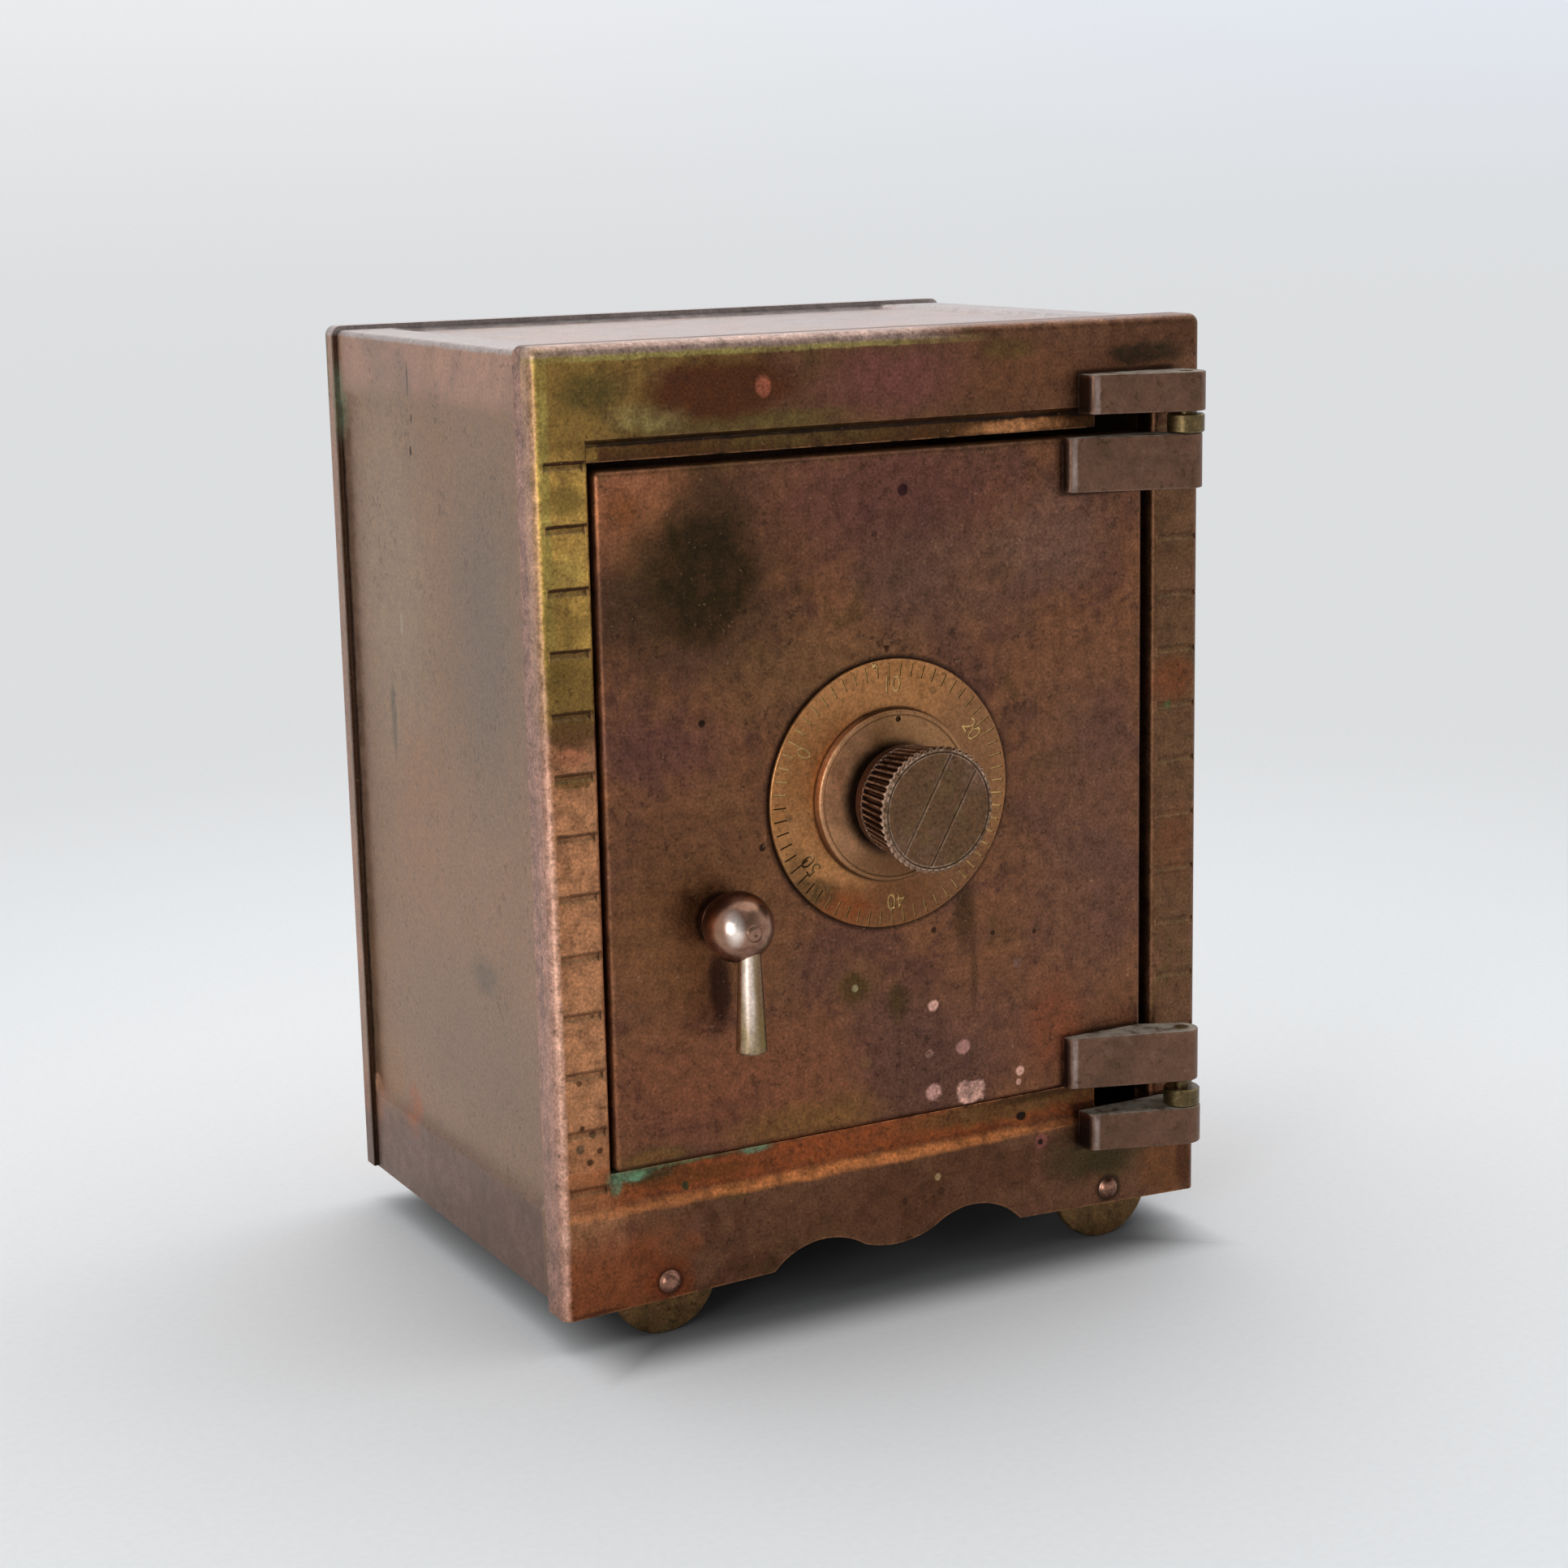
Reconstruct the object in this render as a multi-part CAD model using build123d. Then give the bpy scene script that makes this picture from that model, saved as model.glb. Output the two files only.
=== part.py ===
"""Miniature combination safe of pressed, copper-washed brass on four small disc wheels.

Millimetres, +Z up. The safe stands on the plane Z = 0 with its front towards -Y.
The design frame used below has X = 0 on the centre line, Y = 0 on the face of the
front frame and Z = 0 on the ground; PLACE then centres the finished pieces in depth.
"""
from build123d import *

import os
from math import cos, pi, radians, sin, tan

# ---------------------------------------------------------------- driving dimensions
WIDTH = 102.0                 # front frame, outside
BODY_TOP = 133.0              # top of the frame above the ground
BODY_DEPTH = 74.5             # frame face to back panel
WHEEL_DROP = 5.0              # frame foot above the ground
SHEET = 0.6                   # sheet of the body, back and flanges
FACE_SHEET = 1.0              # front plate of the frame
DOOR_SHEET = 0.8
TOUCH = 0.1                   # clearance between flat faces that slide
RUN_FIT = 0.05                # radial clearance of a turning shaft

HALF_WIDTH = WIDTH / 2
FLANGE_DEPTH = 5.5            # side and top flanges of the frame
BACK_RIM = 4.0                # the back tray laps this far over the body sheet
DISH_CORNER = 2.0             # corner radius of the pressed-in panels
DISH_SLOPE = 1.2              # run of their sloping edge
BODY_FOOT = WHEEL_DROP + 1.2  # lower edge of the body sheet

APERTURE_LEFT, APERTURE_RIGHT = -43.5, 42.9
APERTURE_FOOT, APERTURE_TOP = 18.6, 121.1
RETURN_DEPTH = 4.0            # bent-in lips beside the door
REBATE_STEP = 1.4             # the ledge above and below the door lies this far back
HINGE_NOTCH = 34.0            # the ledges stop here to clear the hinges

DOOR_LEFT, DOOR_RIGHT = -42.9, 41.0
DOOR_FOOT, DOOR_TOP = 24.4, 117.1
DOOR_FACE = -0.3              # door face, a hair proud of the frame
DOOR_INSIDE = DOOR_FACE + DOOR_SHEET
DOOR_BACK = 3.2               # back edge of the door's rim

GROOVE_COUNT = 13             # pressed joints on each jamb, like courses of stone
GROOVE_FIRST = 22.9
GROOVE_PITCH = 7.95
GROOVE_DEPTH = 0.5
EDGE_ROUNDING = 0.8           # pressed edges of the jambs beside the door

HINGE_X, HINGE_Y = 44.8, -5.0
HINGE_PIN = 1.1               # radius
HINGE_RADII = {"frame": 2.7, "washer": 2.6, "door": 2.3}
HINGE_LEAN = 18.5             # degrees that a block's face leans out towards the pin
FRAME_BLOCK_LEFT, FRAME_BLOCK_HEIGHT = 30.4, 5.4
DOOR_BLOCK_LEFT, DOOR_BLOCK_HEIGHT = 27.6, 7.5
HINGE_WASHER_HEIGHT = 2.6
FRAME_BLOCK_FEET = (15.1, 120.2)
DOOR_BLOCK_FEET = (DOOR_FOOT, DOOR_TOP - DOOR_BLOCK_HEIGHT)
BLOCK_RIVET = 0.9             # radius
BLOCK_RIVET_ROOT = -2.0       # the rivets reach this far into the blocks

DIAL_X, DIAL_Z = -0.7, 70.8
DIAL_RADIUS = 18.5
DIAL_MARKS = 60
PLATE_BACK = DOOR_FACE - TOUCH
PLATE_FRONT = PLATE_BACK - 0.5
CAP_RADIUS = 11.8
CAP_FRONT = PLATE_FRONT - 1.4
KNOB_FRONT, KNOB_BACK = -13.4, -4.2
KNOB_FACE_RADIUS, KNOB_NECK_RADIUS = 8.5, 7.45
KNOB_FLUTES = 52
BUSH_RADIUS = 3.0
BUSH_FLANGE_BACK = DOOR_INSIDE + 0.6
SPINDLE_RADIUS = 2.0
SPINDLE_END = 3.6
SCREW_RADIUS = 1.0

CUP_FRONT, CUP_FLOOR, CUP_BACK = 2.0, 2.8, 5.3
CUP_RADIUS = 8.5
CUP_WALL = 1.2
CUP_HUB_RADIUS = 3.4
GATE_WIDTH = 3.2

HANDLE_X, HANDLE_Z = -26.55, 56.85
BALL_RADIUS = 4.75
BALL_Y = -5.2
COLLAR_RADIUS, COLLAR_THICKNESS = 3.4, 1.1
LEVER_X = HANDLE_X + 0.45
LEVER_Y = BALL_Y - 2.1        # the lever hangs in front of the ball's centre
LEVER_FOOT = 40.3
HANDLE_SPINDLE = 1.7          # radius

BOLT_TRAVEL = 4.2
BOLT_TIP = -42.0
BOLT_FRONT, BOLT_BACK = 6.0, 7.2
BOLT_HALF_HEIGHT = 3.5
NOSE_NEAR = DIAL_X + CUP_RADIUS + 0.5
NOSE_FAR = NOSE_NEAR + 1.8
CRANK_FRONT, CRANK_BACK = 2.6, 4.2
CRANK_PIN = 0.8               # radius
CRANK_TURN = 45               # degrees from straight down to the pin, at either end
CRANK_RADIUS = BOLT_TRAVEL / 2 / sin(radians(CRANK_TURN))

COVER_LEFT, COVER_RIGHT = -39.4, 16.0
COVER_FOOT, COVER_TOP = 48.4, 84.0
COVER_BACK = 9.8
COVER_LIP = 5.0
STUD_RADIUS = 0.8

WHEEL_RADIUS = 7.8
WHEEL_X = 35.5
WHEEL_THICKNESS = 1.3
WHEEL_SPACER = 0.5
AXLE_RADIUS = 1.1
AXLE_HEAD = 0.9               # height of the domed rivet heads

PLACE = Pos(0, -(BODY_DEPTH + AXLE_HEAD + KNOB_FRONT) / 2, 0)


# ---------------------------------------------------------------- shape helpers
def block(x0, x1, y0, y1, z0, z1):
    """Box between two corners."""
    middle = Pos((x0 + x1) / 2, (y0 + y1) / 2, (z0 + z1) / 2)
    return middle * Box(x1 - x0, y1 - y0, z1 - z0)


def rod_y(x, z, y0, y1, radius):
    """Cylinder along Y."""
    return Pos(x, (y0 + y1) / 2, z) * Rot(90, 0, 0) * Cylinder(radius, y1 - y0)


def rod_z(x, y, z0, z1, radius):
    """Cylinder along Z."""
    return Pos(x, y, (z0 + z1) / 2) * Cylinder(radius, z1 - z0)


def prism_x(points, x0, x1):
    """Polygon of (y, z) points drawn out along X."""
    face = Plane.YZ.offset(x0) * Polygon(*points, align=None)
    return extrude(face, amount=x1 - x0, dir=(1, 0, 0))


def prism_y(points, y0, y1):
    """Polygon of (x, z) points drawn out along Y."""
    face = Plane.XZ.offset(-y0) * Polygon(*points, align=None)
    return extrude(face, amount=y1 - y0, dir=(0, 1, 0))


def turned(points, x, z):
    """Solid turned about the Y line through (x, z) from (radius, y) points."""
    return Pos(x, 0, z) * revolve(Polygon(*points, align=None), Axis.Y)


def dish(plane, length, width):
    """Space pressed into a sheet: a flat floor on the plane and sloping sides."""
    over = 2 * SHEET
    floor = plane * RectangleRounded(length, width, DISH_CORNER)
    grow = 2 * DISH_SLOPE * over / SHEET
    mouth = RectangleRounded(length + grow, width + grow, DISH_CORNER + grow / 2)
    return loft([floor, plane.offset(over) * mouth], ruled=True)


def edges_at(shape, axis, **where):
    """Edges along one axis whose centre has the given coordinates."""
    found = shape.edges().filter_by(axis)
    for name, value in where.items():
        found = found.filter_by(
            lambda edge, n=name, v=value: abs(getattr(edge.center(), n) - v) < 0.01)
    return found


def pan(x0, x1, y0, y1, z0, z1, wall, face_at_front, radius, open_foot=False):
    """Shallow pressed tray: a face at the front or the back and a rim all round."""
    outer = block(x0, x1, y0, y1, z0, z1)
    face_y = y0 if face_at_front else y1
    corners = edges_at(outer, Axis.Y, Z=z1)
    rims = edges_at(outer, Axis.Z, Y=face_y) + edges_at(outer, Axis.X, Y=face_y, Z=z1)
    if not open_foot:
        corners += edges_at(outer, Axis.Y, Z=z0)
        rims += edges_at(outer, Axis.X, Y=face_y, Z=z0)
    outer = fillet(corners + rims, radius)
    inner_foot = z0 - 1 if open_foot else z0 + wall
    if face_at_front:
        inner = block(x0 + wall, x1 - wall, y0 + wall, y1 + 1, inner_foot, z1 - wall)
    else:
        inner = block(x0 + wall, x1 - wall, y0 - 1, y1 - wall, inner_foot, z1 - wall)
    soft = edges_at(inner, Axis.Y, Z=z1 - wall)
    return outer - fillet(soft, max(radius - wall, 0.2))


def node(name, *solids):
    """Write one named piece, or a group of like pieces, to its own file."""
    placed = [PLACE * solid for solid in solids]
    shape = placed[0] if len(placed) == 1 else Compound(children=placed)
    shape.label = name
    export_step(shape, f"parts/{name}.step")


# ---------------------------------------------------------------- case
def scallop():
    """Space cut from the foot of the frame between the front wheels."""
    foot = WHEEL_DROP
    rise = foot + 0.9
    valley = (0.4, foot + 1.25)
    crest = 13.0
    outline = [
        Line((-50.0, foot), (-19.6, rise)),
        ThreePointArc((-19.6, rise), (-crest, foot + 4.15), (-5.2, foot + 2.15)),
        ThreePointArc((-5.2, foot + 2.15), valley, (6.0, foot + 2.6)),
        ThreePointArc((6.0, foot + 2.6), (crest + 0.6, foot + 4.6), (20.4, rise + 0.2)),
        Line((20.4, rise + 0.2), (50.0, foot)),
        Line((50.0, foot), (50.0, foot - 3)),
        Line((50.0, foot - 3), (-50.0, foot - 3)),
        Line((-50.0, foot - 3), (-50.0, foot)),
    ]
    face = Plane.XZ.offset(0.5) * make_face(outline)
    return extrude(face, amount=FACE_SHEET + 1.0, dir=(0, 1, 0))


def jamb_groove(x0, x1, z):
    """One pressed groove: a short upper slope and a longer lower one."""
    points = [(-0.2, z + 0.4), (GROOVE_DEPTH, z - 0.45), (-0.2, z - 1.5)]
    return prism_x(points, x0, x1)


def ledge(edge_z, step_z, lip_z):
    """Stepped ledge between the face plate and the door, with its bent-in lip."""
    inward = 1 if lip_z > step_z else -1
    thick = SHEET * inward
    points = [
        (0, edge_z), (REBATE_STEP, step_z), (REBATE_STEP, lip_z), (RETURN_DEPTH, lip_z),
        (RETURN_DEPTH, lip_z - thick), (REBATE_STEP + SHEET, lip_z - thick),
        (REBATE_STEP + SHEET, step_z - thick / 2), (FACE_SHEET, edge_z - thick / 3),
        (FACE_SHEET, edge_z - thick), (0, edge_z - thick),
    ]
    return prism_x(points, APERTURE_LEFT, HINGE_NOTCH)


def front_frame():
    """Pressed front: face plate, flanges, aperture with ledges and jamb grooves."""
    shell = block(-HALF_WIDTH, HALF_WIDTH, 0, FLANGE_DEPTH, WHEEL_DROP, BODY_TOP)
    rounds = (edges_at(shell, Axis.Z, Y=0) + edges_at(shell, Axis.X, Y=0, Z=BODY_TOP)
              + edges_at(shell, Axis.Y, Z=BODY_TOP))
    shell = fillet(rounds, 1.4)
    inside = block(-HALF_WIDTH + SHEET, HALF_WIDTH - SHEET, FACE_SHEET, FLANGE_DEPTH + 1,
                   WHEEL_DROP - 1, BODY_TOP - SHEET)
    shell -= fillet(edges_at(inside, Axis.Y, Z=BODY_TOP - SHEET), 0.9)
    shell -= block(APERTURE_LEFT, APERTURE_RIGHT, -1, FACE_SHEET + 1, APERTURE_FOOT,
                   APERTURE_TOP)
    shell += block(APERTURE_LEFT - SHEET, APERTURE_LEFT, FACE_SHEET / 2, RETURN_DEPTH,
                   APERTURE_FOOT, APERTURE_TOP)
    shell += block(APERTURE_RIGHT, APERTURE_RIGHT + SHEET, FACE_SHEET / 2, RETURN_DEPTH,
                   APERTURE_FOOT, APERTURE_TOP)
    shell += ledge(APERTURE_TOP, APERTURE_TOP - 0.8, DOOR_TOP + 1.0)
    shell += ledge(APERTURE_FOOT, APERTURE_FOOT + 1.8, DOOR_FOOT - 0.5)
    sides = (edges_at(shell, Axis.Z, Y=0, X=APERTURE_LEFT)
             + edges_at(shell, Axis.Z, Y=0, X=APERTURE_RIGHT))
    shell = fillet(sides, EDGE_ROUNDING)
    shell -= scallop()
    for index in range(GROOVE_COUNT):
        z = GROOVE_FIRST + index * GROOVE_PITCH
        shell -= jamb_groove(-49.7, APERTURE_LEFT - EDGE_ROUNDING, z)
        shell -= jamb_groove(APERTURE_RIGHT + EDGE_ROUNDING, 50.3, z)
    for x in (-WHEEL_X, WHEEL_X):
        shell -= rod_y(x, WHEEL_RADIUS, -1, FACE_SHEET + 1, AXLE_RADIUS)
    for x, z in frame_rivet_places():
        shell -= rod_y(x, z, -1, FACE_SHEET + 1, BLOCK_RIVET)
    return shell


def body_wrap():
    """Left side, top and right side in one bent sheet with a pressed-in panel on each."""
    half = HALF_WIDTH - SHEET
    top = BODY_TOP - SHEET
    y0, y1 = FACE_SHEET, BODY_DEPTH - SHEET
    outer = block(-half, half, y0, y1, BODY_FOOT, top)
    outer = fillet(edges_at(outer, Axis.Y, Z=top), 0.9)
    inner = block(-half + SHEET, half - SHEET, y0 - 1, y1 + 1, BODY_FOOT - 1, top - SHEET)
    wrap = outer - inner
    front, back = FLANGE_DEPTH + 0.3 + DISH_SLOPE, BODY_DEPTH - BACK_RIM - 0.1 - DISH_SLOPE
    foot, head = APERTURE_FOOT + 0.6, 123.1
    top_half = 41.9
    middle = (front + back) / 2
    for side in (-1, 1):
        pad = block(half - 2 * SHEET, half - SHEET, FLANGE_DEPTH, y1,
                    foot - DISH_SLOPE, head + DISH_SLOPE)
        plane = Plane((half - SHEET, middle, (foot + head) / 2), x_dir=(0, 1, 0),
                      z_dir=(1, 0, 0))
        hollow = dish(plane, back - front, head - foot)
        if side < 0:
            pad = mirror(pad, Plane.YZ)
            hollow = mirror(hollow, Plane.YZ)
        wrap = wrap + pad - hollow
    pad = block(-top_half - DISH_SLOPE, top_half + DISH_SLOPE, FLANGE_DEPTH, y1,
                top - 2 * SHEET, top - SHEET)
    plane = Plane((0, middle, top - SHEET), x_dir=(1, 0, 0), z_dir=(0, 0, 1))
    return wrap + pad - dish(plane, 2 * top_half, back - front)


def back_panel():
    """Back tray whose rim laps over the body sheet."""
    tray = pan(-HALF_WIDTH, HALF_WIDTH, BODY_DEPTH - BACK_RIM, BODY_DEPTH, BODY_FOOT, BODY_TOP,
               SHEET, False, 1.4, open_foot=True)
    inner_y = BODY_DEPTH - SHEET
    pad = block(-42.0, 42.0, inner_y - SHEET, inner_y, 19.2, 123.8)
    plane = Plane((0, inner_y, 71.5), x_dir=(-1, 0, 0), z_dir=(0, 1, 0))
    tray = tray + pad - dish(plane, 81.2, 101.8)
    for x in (-WHEEL_X, WHEEL_X):
        tray -= rod_y(x, WHEEL_RADIUS, inner_y - 1, BODY_DEPTH + 1, AXLE_RADIUS)
    return tray


def floor_plate():
    """Floor of the strong room with a turned-down lip along each side."""
    half = HALF_WIDTH - 2 * SHEET
    top = APERTURE_FOOT - 1.6
    plate = block(-half, half, FACE_SHEET, BODY_DEPTH - SHEET, top - SHEET, top)
    for side in (-1, 1):
        lip_outer = side * half
        lip_inner = side * (half - SHEET)
        plate += block(min(lip_outer, lip_inner), max(lip_outer, lip_inner),
                       FLANGE_DEPTH, BODY_DEPTH - 6, top - 7, top)
    return plate


def door_stops():
    """Two lugs on the latch-side lip that the door's rim closes against."""
    lugs = []
    for z in (41.0, 98.0):
        lugs.append(block(APERTURE_LEFT, APERTURE_LEFT + 1.8, DOOR_BACK + 0.15,
                          RETURN_DEPTH, z - 3, z + 3))
    return lugs


def bolt_keeper():
    """Bracket behind the jamb that takes the thrown bolt."""
    wall = -HALF_WIDTH + 3 * SHEET
    plate_x0, plate_x1 = APERTURE_LEFT - 2.1, APERTURE_LEFT - 1.1
    z0, z1 = HANDLE_Z - 6.8, HANDLE_Z + 6.8
    plate = block(plate_x0, plate_x1, RETURN_DEPTH + 0.4, 9.0, z0, z1)
    plate += block(wall, plate_x1, 8.2, 9.0, z0, z1)
    plate += block(wall, wall + 0.8, 8.2, 16.0, z0, z1)
    window = block(plate_x0 - 1, plate_x1 + 1, BOLT_FRONT - 0.4, BOLT_BACK + 0.4,
                   HANDLE_Z - BOLT_HALF_HEIGHT - 0.4, HANDLE_Z + BOLT_HALF_HEIGHT + 0.4)
    return plate - window


# ---------------------------------------------------------------- wheels
def axle_rivet(x, face, inward):
    """Shouldered rivet: domed head outside, plain shank, closed tail inside."""
    sheet = FACE_SHEET if inward > 0 else SHEET
    gap = sheet + WHEEL_SPACER + TOUCH + WHEEL_THICKNESS + TOUCH
    outline = [(0, -AXLE_HEAD), (0.7, -AXLE_HEAD + 0.08), (1.25, -0.5), (1.6, 0),
               (AXLE_RADIUS, 0), (AXLE_RADIUS, gap), (1.9, gap), (1.7, gap + 0.8),
               (0, gap + 0.8)]
    points = [(r, face + inward * y) for r, y in outline]
    return turned(points, x, WHEEL_RADIUS)


def wheel(x, face, inward):
    """Plain disc with a running bore."""
    sheet = FACE_SHEET if inward > 0 else SHEET
    near = face + inward * (sheet + WHEEL_SPACER + TOUCH)
    far = near + inward * WHEEL_THICKNESS
    disc = rod_y(x, WHEEL_RADIUS, min(near, far), max(near, far), WHEEL_RADIUS)
    disc = chamfer(disc.edges(), 0.15)
    return disc - rod_y(x, WHEEL_RADIUS, min(near, far) - 1, max(near, far) + 1,
                        AXLE_RADIUS + RUN_FIT)


def spacer(x, face, inward):
    """Thin collar that keeps the wheel off the sheet."""
    sheet = FACE_SHEET if inward > 0 else SHEET
    near = face + inward * sheet
    far = near + inward * WHEEL_SPACER
    collar = rod_y(x, WHEEL_RADIUS, min(near, far), max(near, far), 2.2)
    return collar - rod_y(x, WHEEL_RADIUS, min(near, far) - 1, max(near, far) + 1,
                          AXLE_RADIUS)


WHEEL_PLACES = {
    "front_left": (-WHEEL_X, 0.0, 1),
    "front_right": (WHEEL_X, 0.0, 1),
    "rear_left": (-WHEEL_X, BODY_DEPTH, -1),
    "rear_right": (WHEEL_X, BODY_DEPTH, -1),
}


# ---------------------------------------------------------------- hinges
def hinge_outline(kind, left, back):
    """Plan of a hinge block: thin at the left, round about the pin at the right."""
    radius = HINGE_RADII[kind]
    lean = radians(HINGE_LEAN)
    nose = 1.0                # rounding of the left corner
    meet = (HINGE_X - radius * sin(lean), HINGE_Y - radius * cos(lean))
    run = meet[0] - left - nose * (1 - sin(lean))
    start = (meet[0] - run, meet[1] + run * tan(lean))
    side_top = start[1] + nose * cos(lean)
    middle = (left + nose * 0.23, side_top - nose * 0.64)
    front = [
        Line((left, back), (left, side_top)),
        ThreePointArc((left, side_top), middle, start),
        Line(start, meet),
    ]
    if kind == "frame":
        right = HINGE_X + radius
        bow = (HINGE_X + radius * cos(radians(35)), HINGE_Y - radius * sin(radians(35)))
        rest = [ThreePointArc(meet, bow, (right, HINGE_Y)),
                Line((right, HINGE_Y), (right, back)),
                Line((right, back), (left, back))]
    else:
        leave = (HINGE_X + radius * sin(lean), HINGE_Y + radius * cos(lean))
        rest = [ThreePointArc(meet, (HINGE_X + radius, HINGE_Y), leave),
                Line(leave, (DOOR_RIGHT - 0.5, back)),
                Line((DOOR_RIGHT - 0.5, back), (left, back))]
    return make_face(front + rest)


def hinge_block(kind, left, back, foot, height):
    """Solid hinge block bored for the pin."""
    solid = extrude(Pos(0, 0, foot) * hinge_outline(kind, left, back), amount=height)
    solid = fillet(solid.faces().sort_by(Axis.Z)[-1].edges()
                   + solid.faces().sort_by(Axis.Z)[0].edges(), 0.2)
    fit = 0.0 if kind == "frame" else RUN_FIT
    return solid - rod_z(HINGE_X, HINGE_Y, foot - 1, foot + height + 1, HINGE_PIN + fit)


def frame_rivet_places():
    """Rivets of the two frame blocks, clear of the aperture."""
    low, high = FRAME_BLOCK_FEET[0] + 1.7, FRAME_BLOCK_FEET[1] + 3.4
    return [(x, z) for z in (low, high) for x in (33.4, 39.4)]


def door_rivet_places():
    """Rivets of the two door blocks."""
    return [(x, foot + DOOR_BLOCK_HEIGHT / 2) for foot in DOOR_BLOCK_FEET
            for x in (30.6, 36.6)]


def frame_hinge_block(foot):
    """Hinge half on the frame."""
    solid = hinge_block("frame", FRAME_BLOCK_LEFT, 0.0, foot, FRAME_BLOCK_HEIGHT)
    for x, z in frame_rivet_places():
        solid -= rod_y(x, z, BLOCK_RIVET_ROOT, 1, BLOCK_RIVET)
    return solid


def door_hinge_block(foot):
    """Hinge half on the door."""
    solid = hinge_block("door", DOOR_BLOCK_LEFT, DOOR_FACE, foot, DOOR_BLOCK_HEIGHT)
    for x, z in door_rivet_places():
        solid -= rod_y(x, z, BLOCK_RIVET_ROOT, 1, BLOCK_RIVET)
    return solid


def hinge_washers():
    """Brass washer in each hinge, between the two blocks."""
    washers = []
    for foot in (FRAME_BLOCK_FEET[0] + FRAME_BLOCK_HEIGHT, DOOR_TOP + TOUCH):
        ring = rod_z(HINGE_X, HINGE_Y, foot, foot + HINGE_WASHER_HEIGHT,
                     HINGE_RADII["washer"])
        ring = chamfer(ring.edges(), 0.2)
        washers.append(ring - rod_z(HINGE_X, HINGE_Y, foot - 1,
                                    foot + HINGE_WASHER_HEIGHT + 1, HINGE_PIN))
    return washers


def hinge_pins():
    """Plain pins, flush with the far ends of the two blocks that each one joins."""
    upper = rod_z(HINGE_X, HINGE_Y, DOOR_BLOCK_FEET[1],
                  FRAME_BLOCK_FEET[1] + FRAME_BLOCK_HEIGHT, HINGE_PIN)
    lower = rod_z(HINGE_X, HINGE_Y, FRAME_BLOCK_FEET[0],
                  DOOR_BLOCK_FEET[0] + DOOR_BLOCK_HEIGHT, HINGE_PIN)
    return [lower, upper]


# ---------------------------------------------------------------- door
def index_mark():
    """Small raised pointer above the dial."""
    x, z = DIAL_X, DIAL_Z + DIAL_RADIUS + 0.9
    points = [(x - 0.55, z + 0.9), (x - 1.5, z + 1.3), (x - 0.5, z + 1.7), (x, z + 2.6),
              (x + 0.5, z + 1.7), (x + 1.5, z + 1.3), (x + 0.55, z + 0.9), (x, z)]
    return prism_y(points, DOOR_FACE - 0.2, DOOR_FACE + 0.2)


def door_panel():
    """Pressed door with a rounded edge and a shallow rim."""
    door = pan(DOOR_LEFT, DOOR_RIGHT, DOOR_FACE, DOOR_BACK, DOOR_FOOT, DOOR_TOP,
               DOOR_SHEET, True, 0.9)
    door += index_mark()
    for x, z in ((DIAL_X, DIAL_Z), (HANDLE_X, HANDLE_Z)):
        door -= rod_y(x, z, DOOR_FACE - 1, DOOR_INSIDE + 1, BUSH_RADIUS)
    for x, z in door_rivet_places():
        door -= rod_y(x, z, DOOR_FACE - 1, DOOR_INSIDE + 1, BLOCK_RIVET)
    return door


def bushing(x, z, bore):
    """Flanged bearing bush set in the door from behind."""
    flange = BUSH_RADIUS + 1.4
    outline = [(bore + RUN_FIT, DOOR_FACE), (BUSH_RADIUS, DOOR_FACE),
               (BUSH_RADIUS, DOOR_INSIDE), (flange, DOOR_INSIDE),
               (flange, BUSH_FLANGE_BACK), (bore + RUN_FIT, BUSH_FLANGE_BACK)]
    return turned(outline, x, z)


def rivets(places, back):
    """Flush rivets that hold the hinge blocks."""
    return [rod_y(x, z, BLOCK_RIVET_ROOT, back, BLOCK_RIVET) for x, z in places]


def bolt_guide(x0):
    """Guide block with a window for the bolt, fixed inside the door."""
    z0, z1 = HANDLE_Z - 5.4, HANDLE_Z + 5.4
    guide = block(x0, x0 + 3.0, DOOR_INSIDE, BOLT_BACK + 1.0, z0, z1)
    guide = fillet(edges_at(guide, Axis.X, Y=BOLT_BACK + 1.0), 0.8)
    window = block(x0 - 1, x0 + 4, BOLT_FRONT - 0.2, BOLT_BACK + 0.2,
                   HANDLE_Z - BOLT_HALF_HEIGHT - 0.25, HANDLE_Z + BOLT_HALF_HEIGHT + 0.25)
    return guide - window


def stud_places():
    """Centres of the four studs, in the lips of the cover."""
    return [(x, z) for x in (COVER_LEFT + 6, COVER_RIGHT - 6)
            for z in (COVER_FOOT - COVER_LIP / 2, COVER_TOP + COVER_LIP / 2)]


def lock_cover():
    """Pressed tray over the lock work, with lips above and below for its nuts."""
    cover = pan(COVER_LEFT, COVER_RIGHT, DOOR_INSIDE, COVER_BACK, COVER_FOOT, COVER_TOP,
                SHEET, False, 1.2)
    lip_back = DOOR_INSIDE + SHEET
    lips = block(COVER_LEFT + 1.5, COVER_RIGHT - 1.5, DOOR_INSIDE, lip_back,
                 COVER_FOOT - COVER_LIP, COVER_TOP + COVER_LIP)
    lips = fillet(edges_at(lips, Axis.Y), 1.5)
    lips -= block(COVER_LEFT, COVER_RIGHT, DOOR_INSIDE - 1, lip_back + 1,
                  COVER_FOOT + SHEET, COVER_TOP - SHEET)
    cover += lips
    cover -= block(COVER_LEFT - 1, COVER_LEFT + 2, BOLT_FRONT - 0.5, BOLT_BACK + 0.5,
                   HANDLE_Z - BOLT_HALF_HEIGHT - 0.5, HANDLE_Z + BOLT_HALF_HEIGHT + 0.5)
    for x, z in stud_places():
        cover -= rod_y(x, z, DOOR_INSIDE - 1, lip_back + 1, STUD_RADIUS)
    return cover


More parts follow.
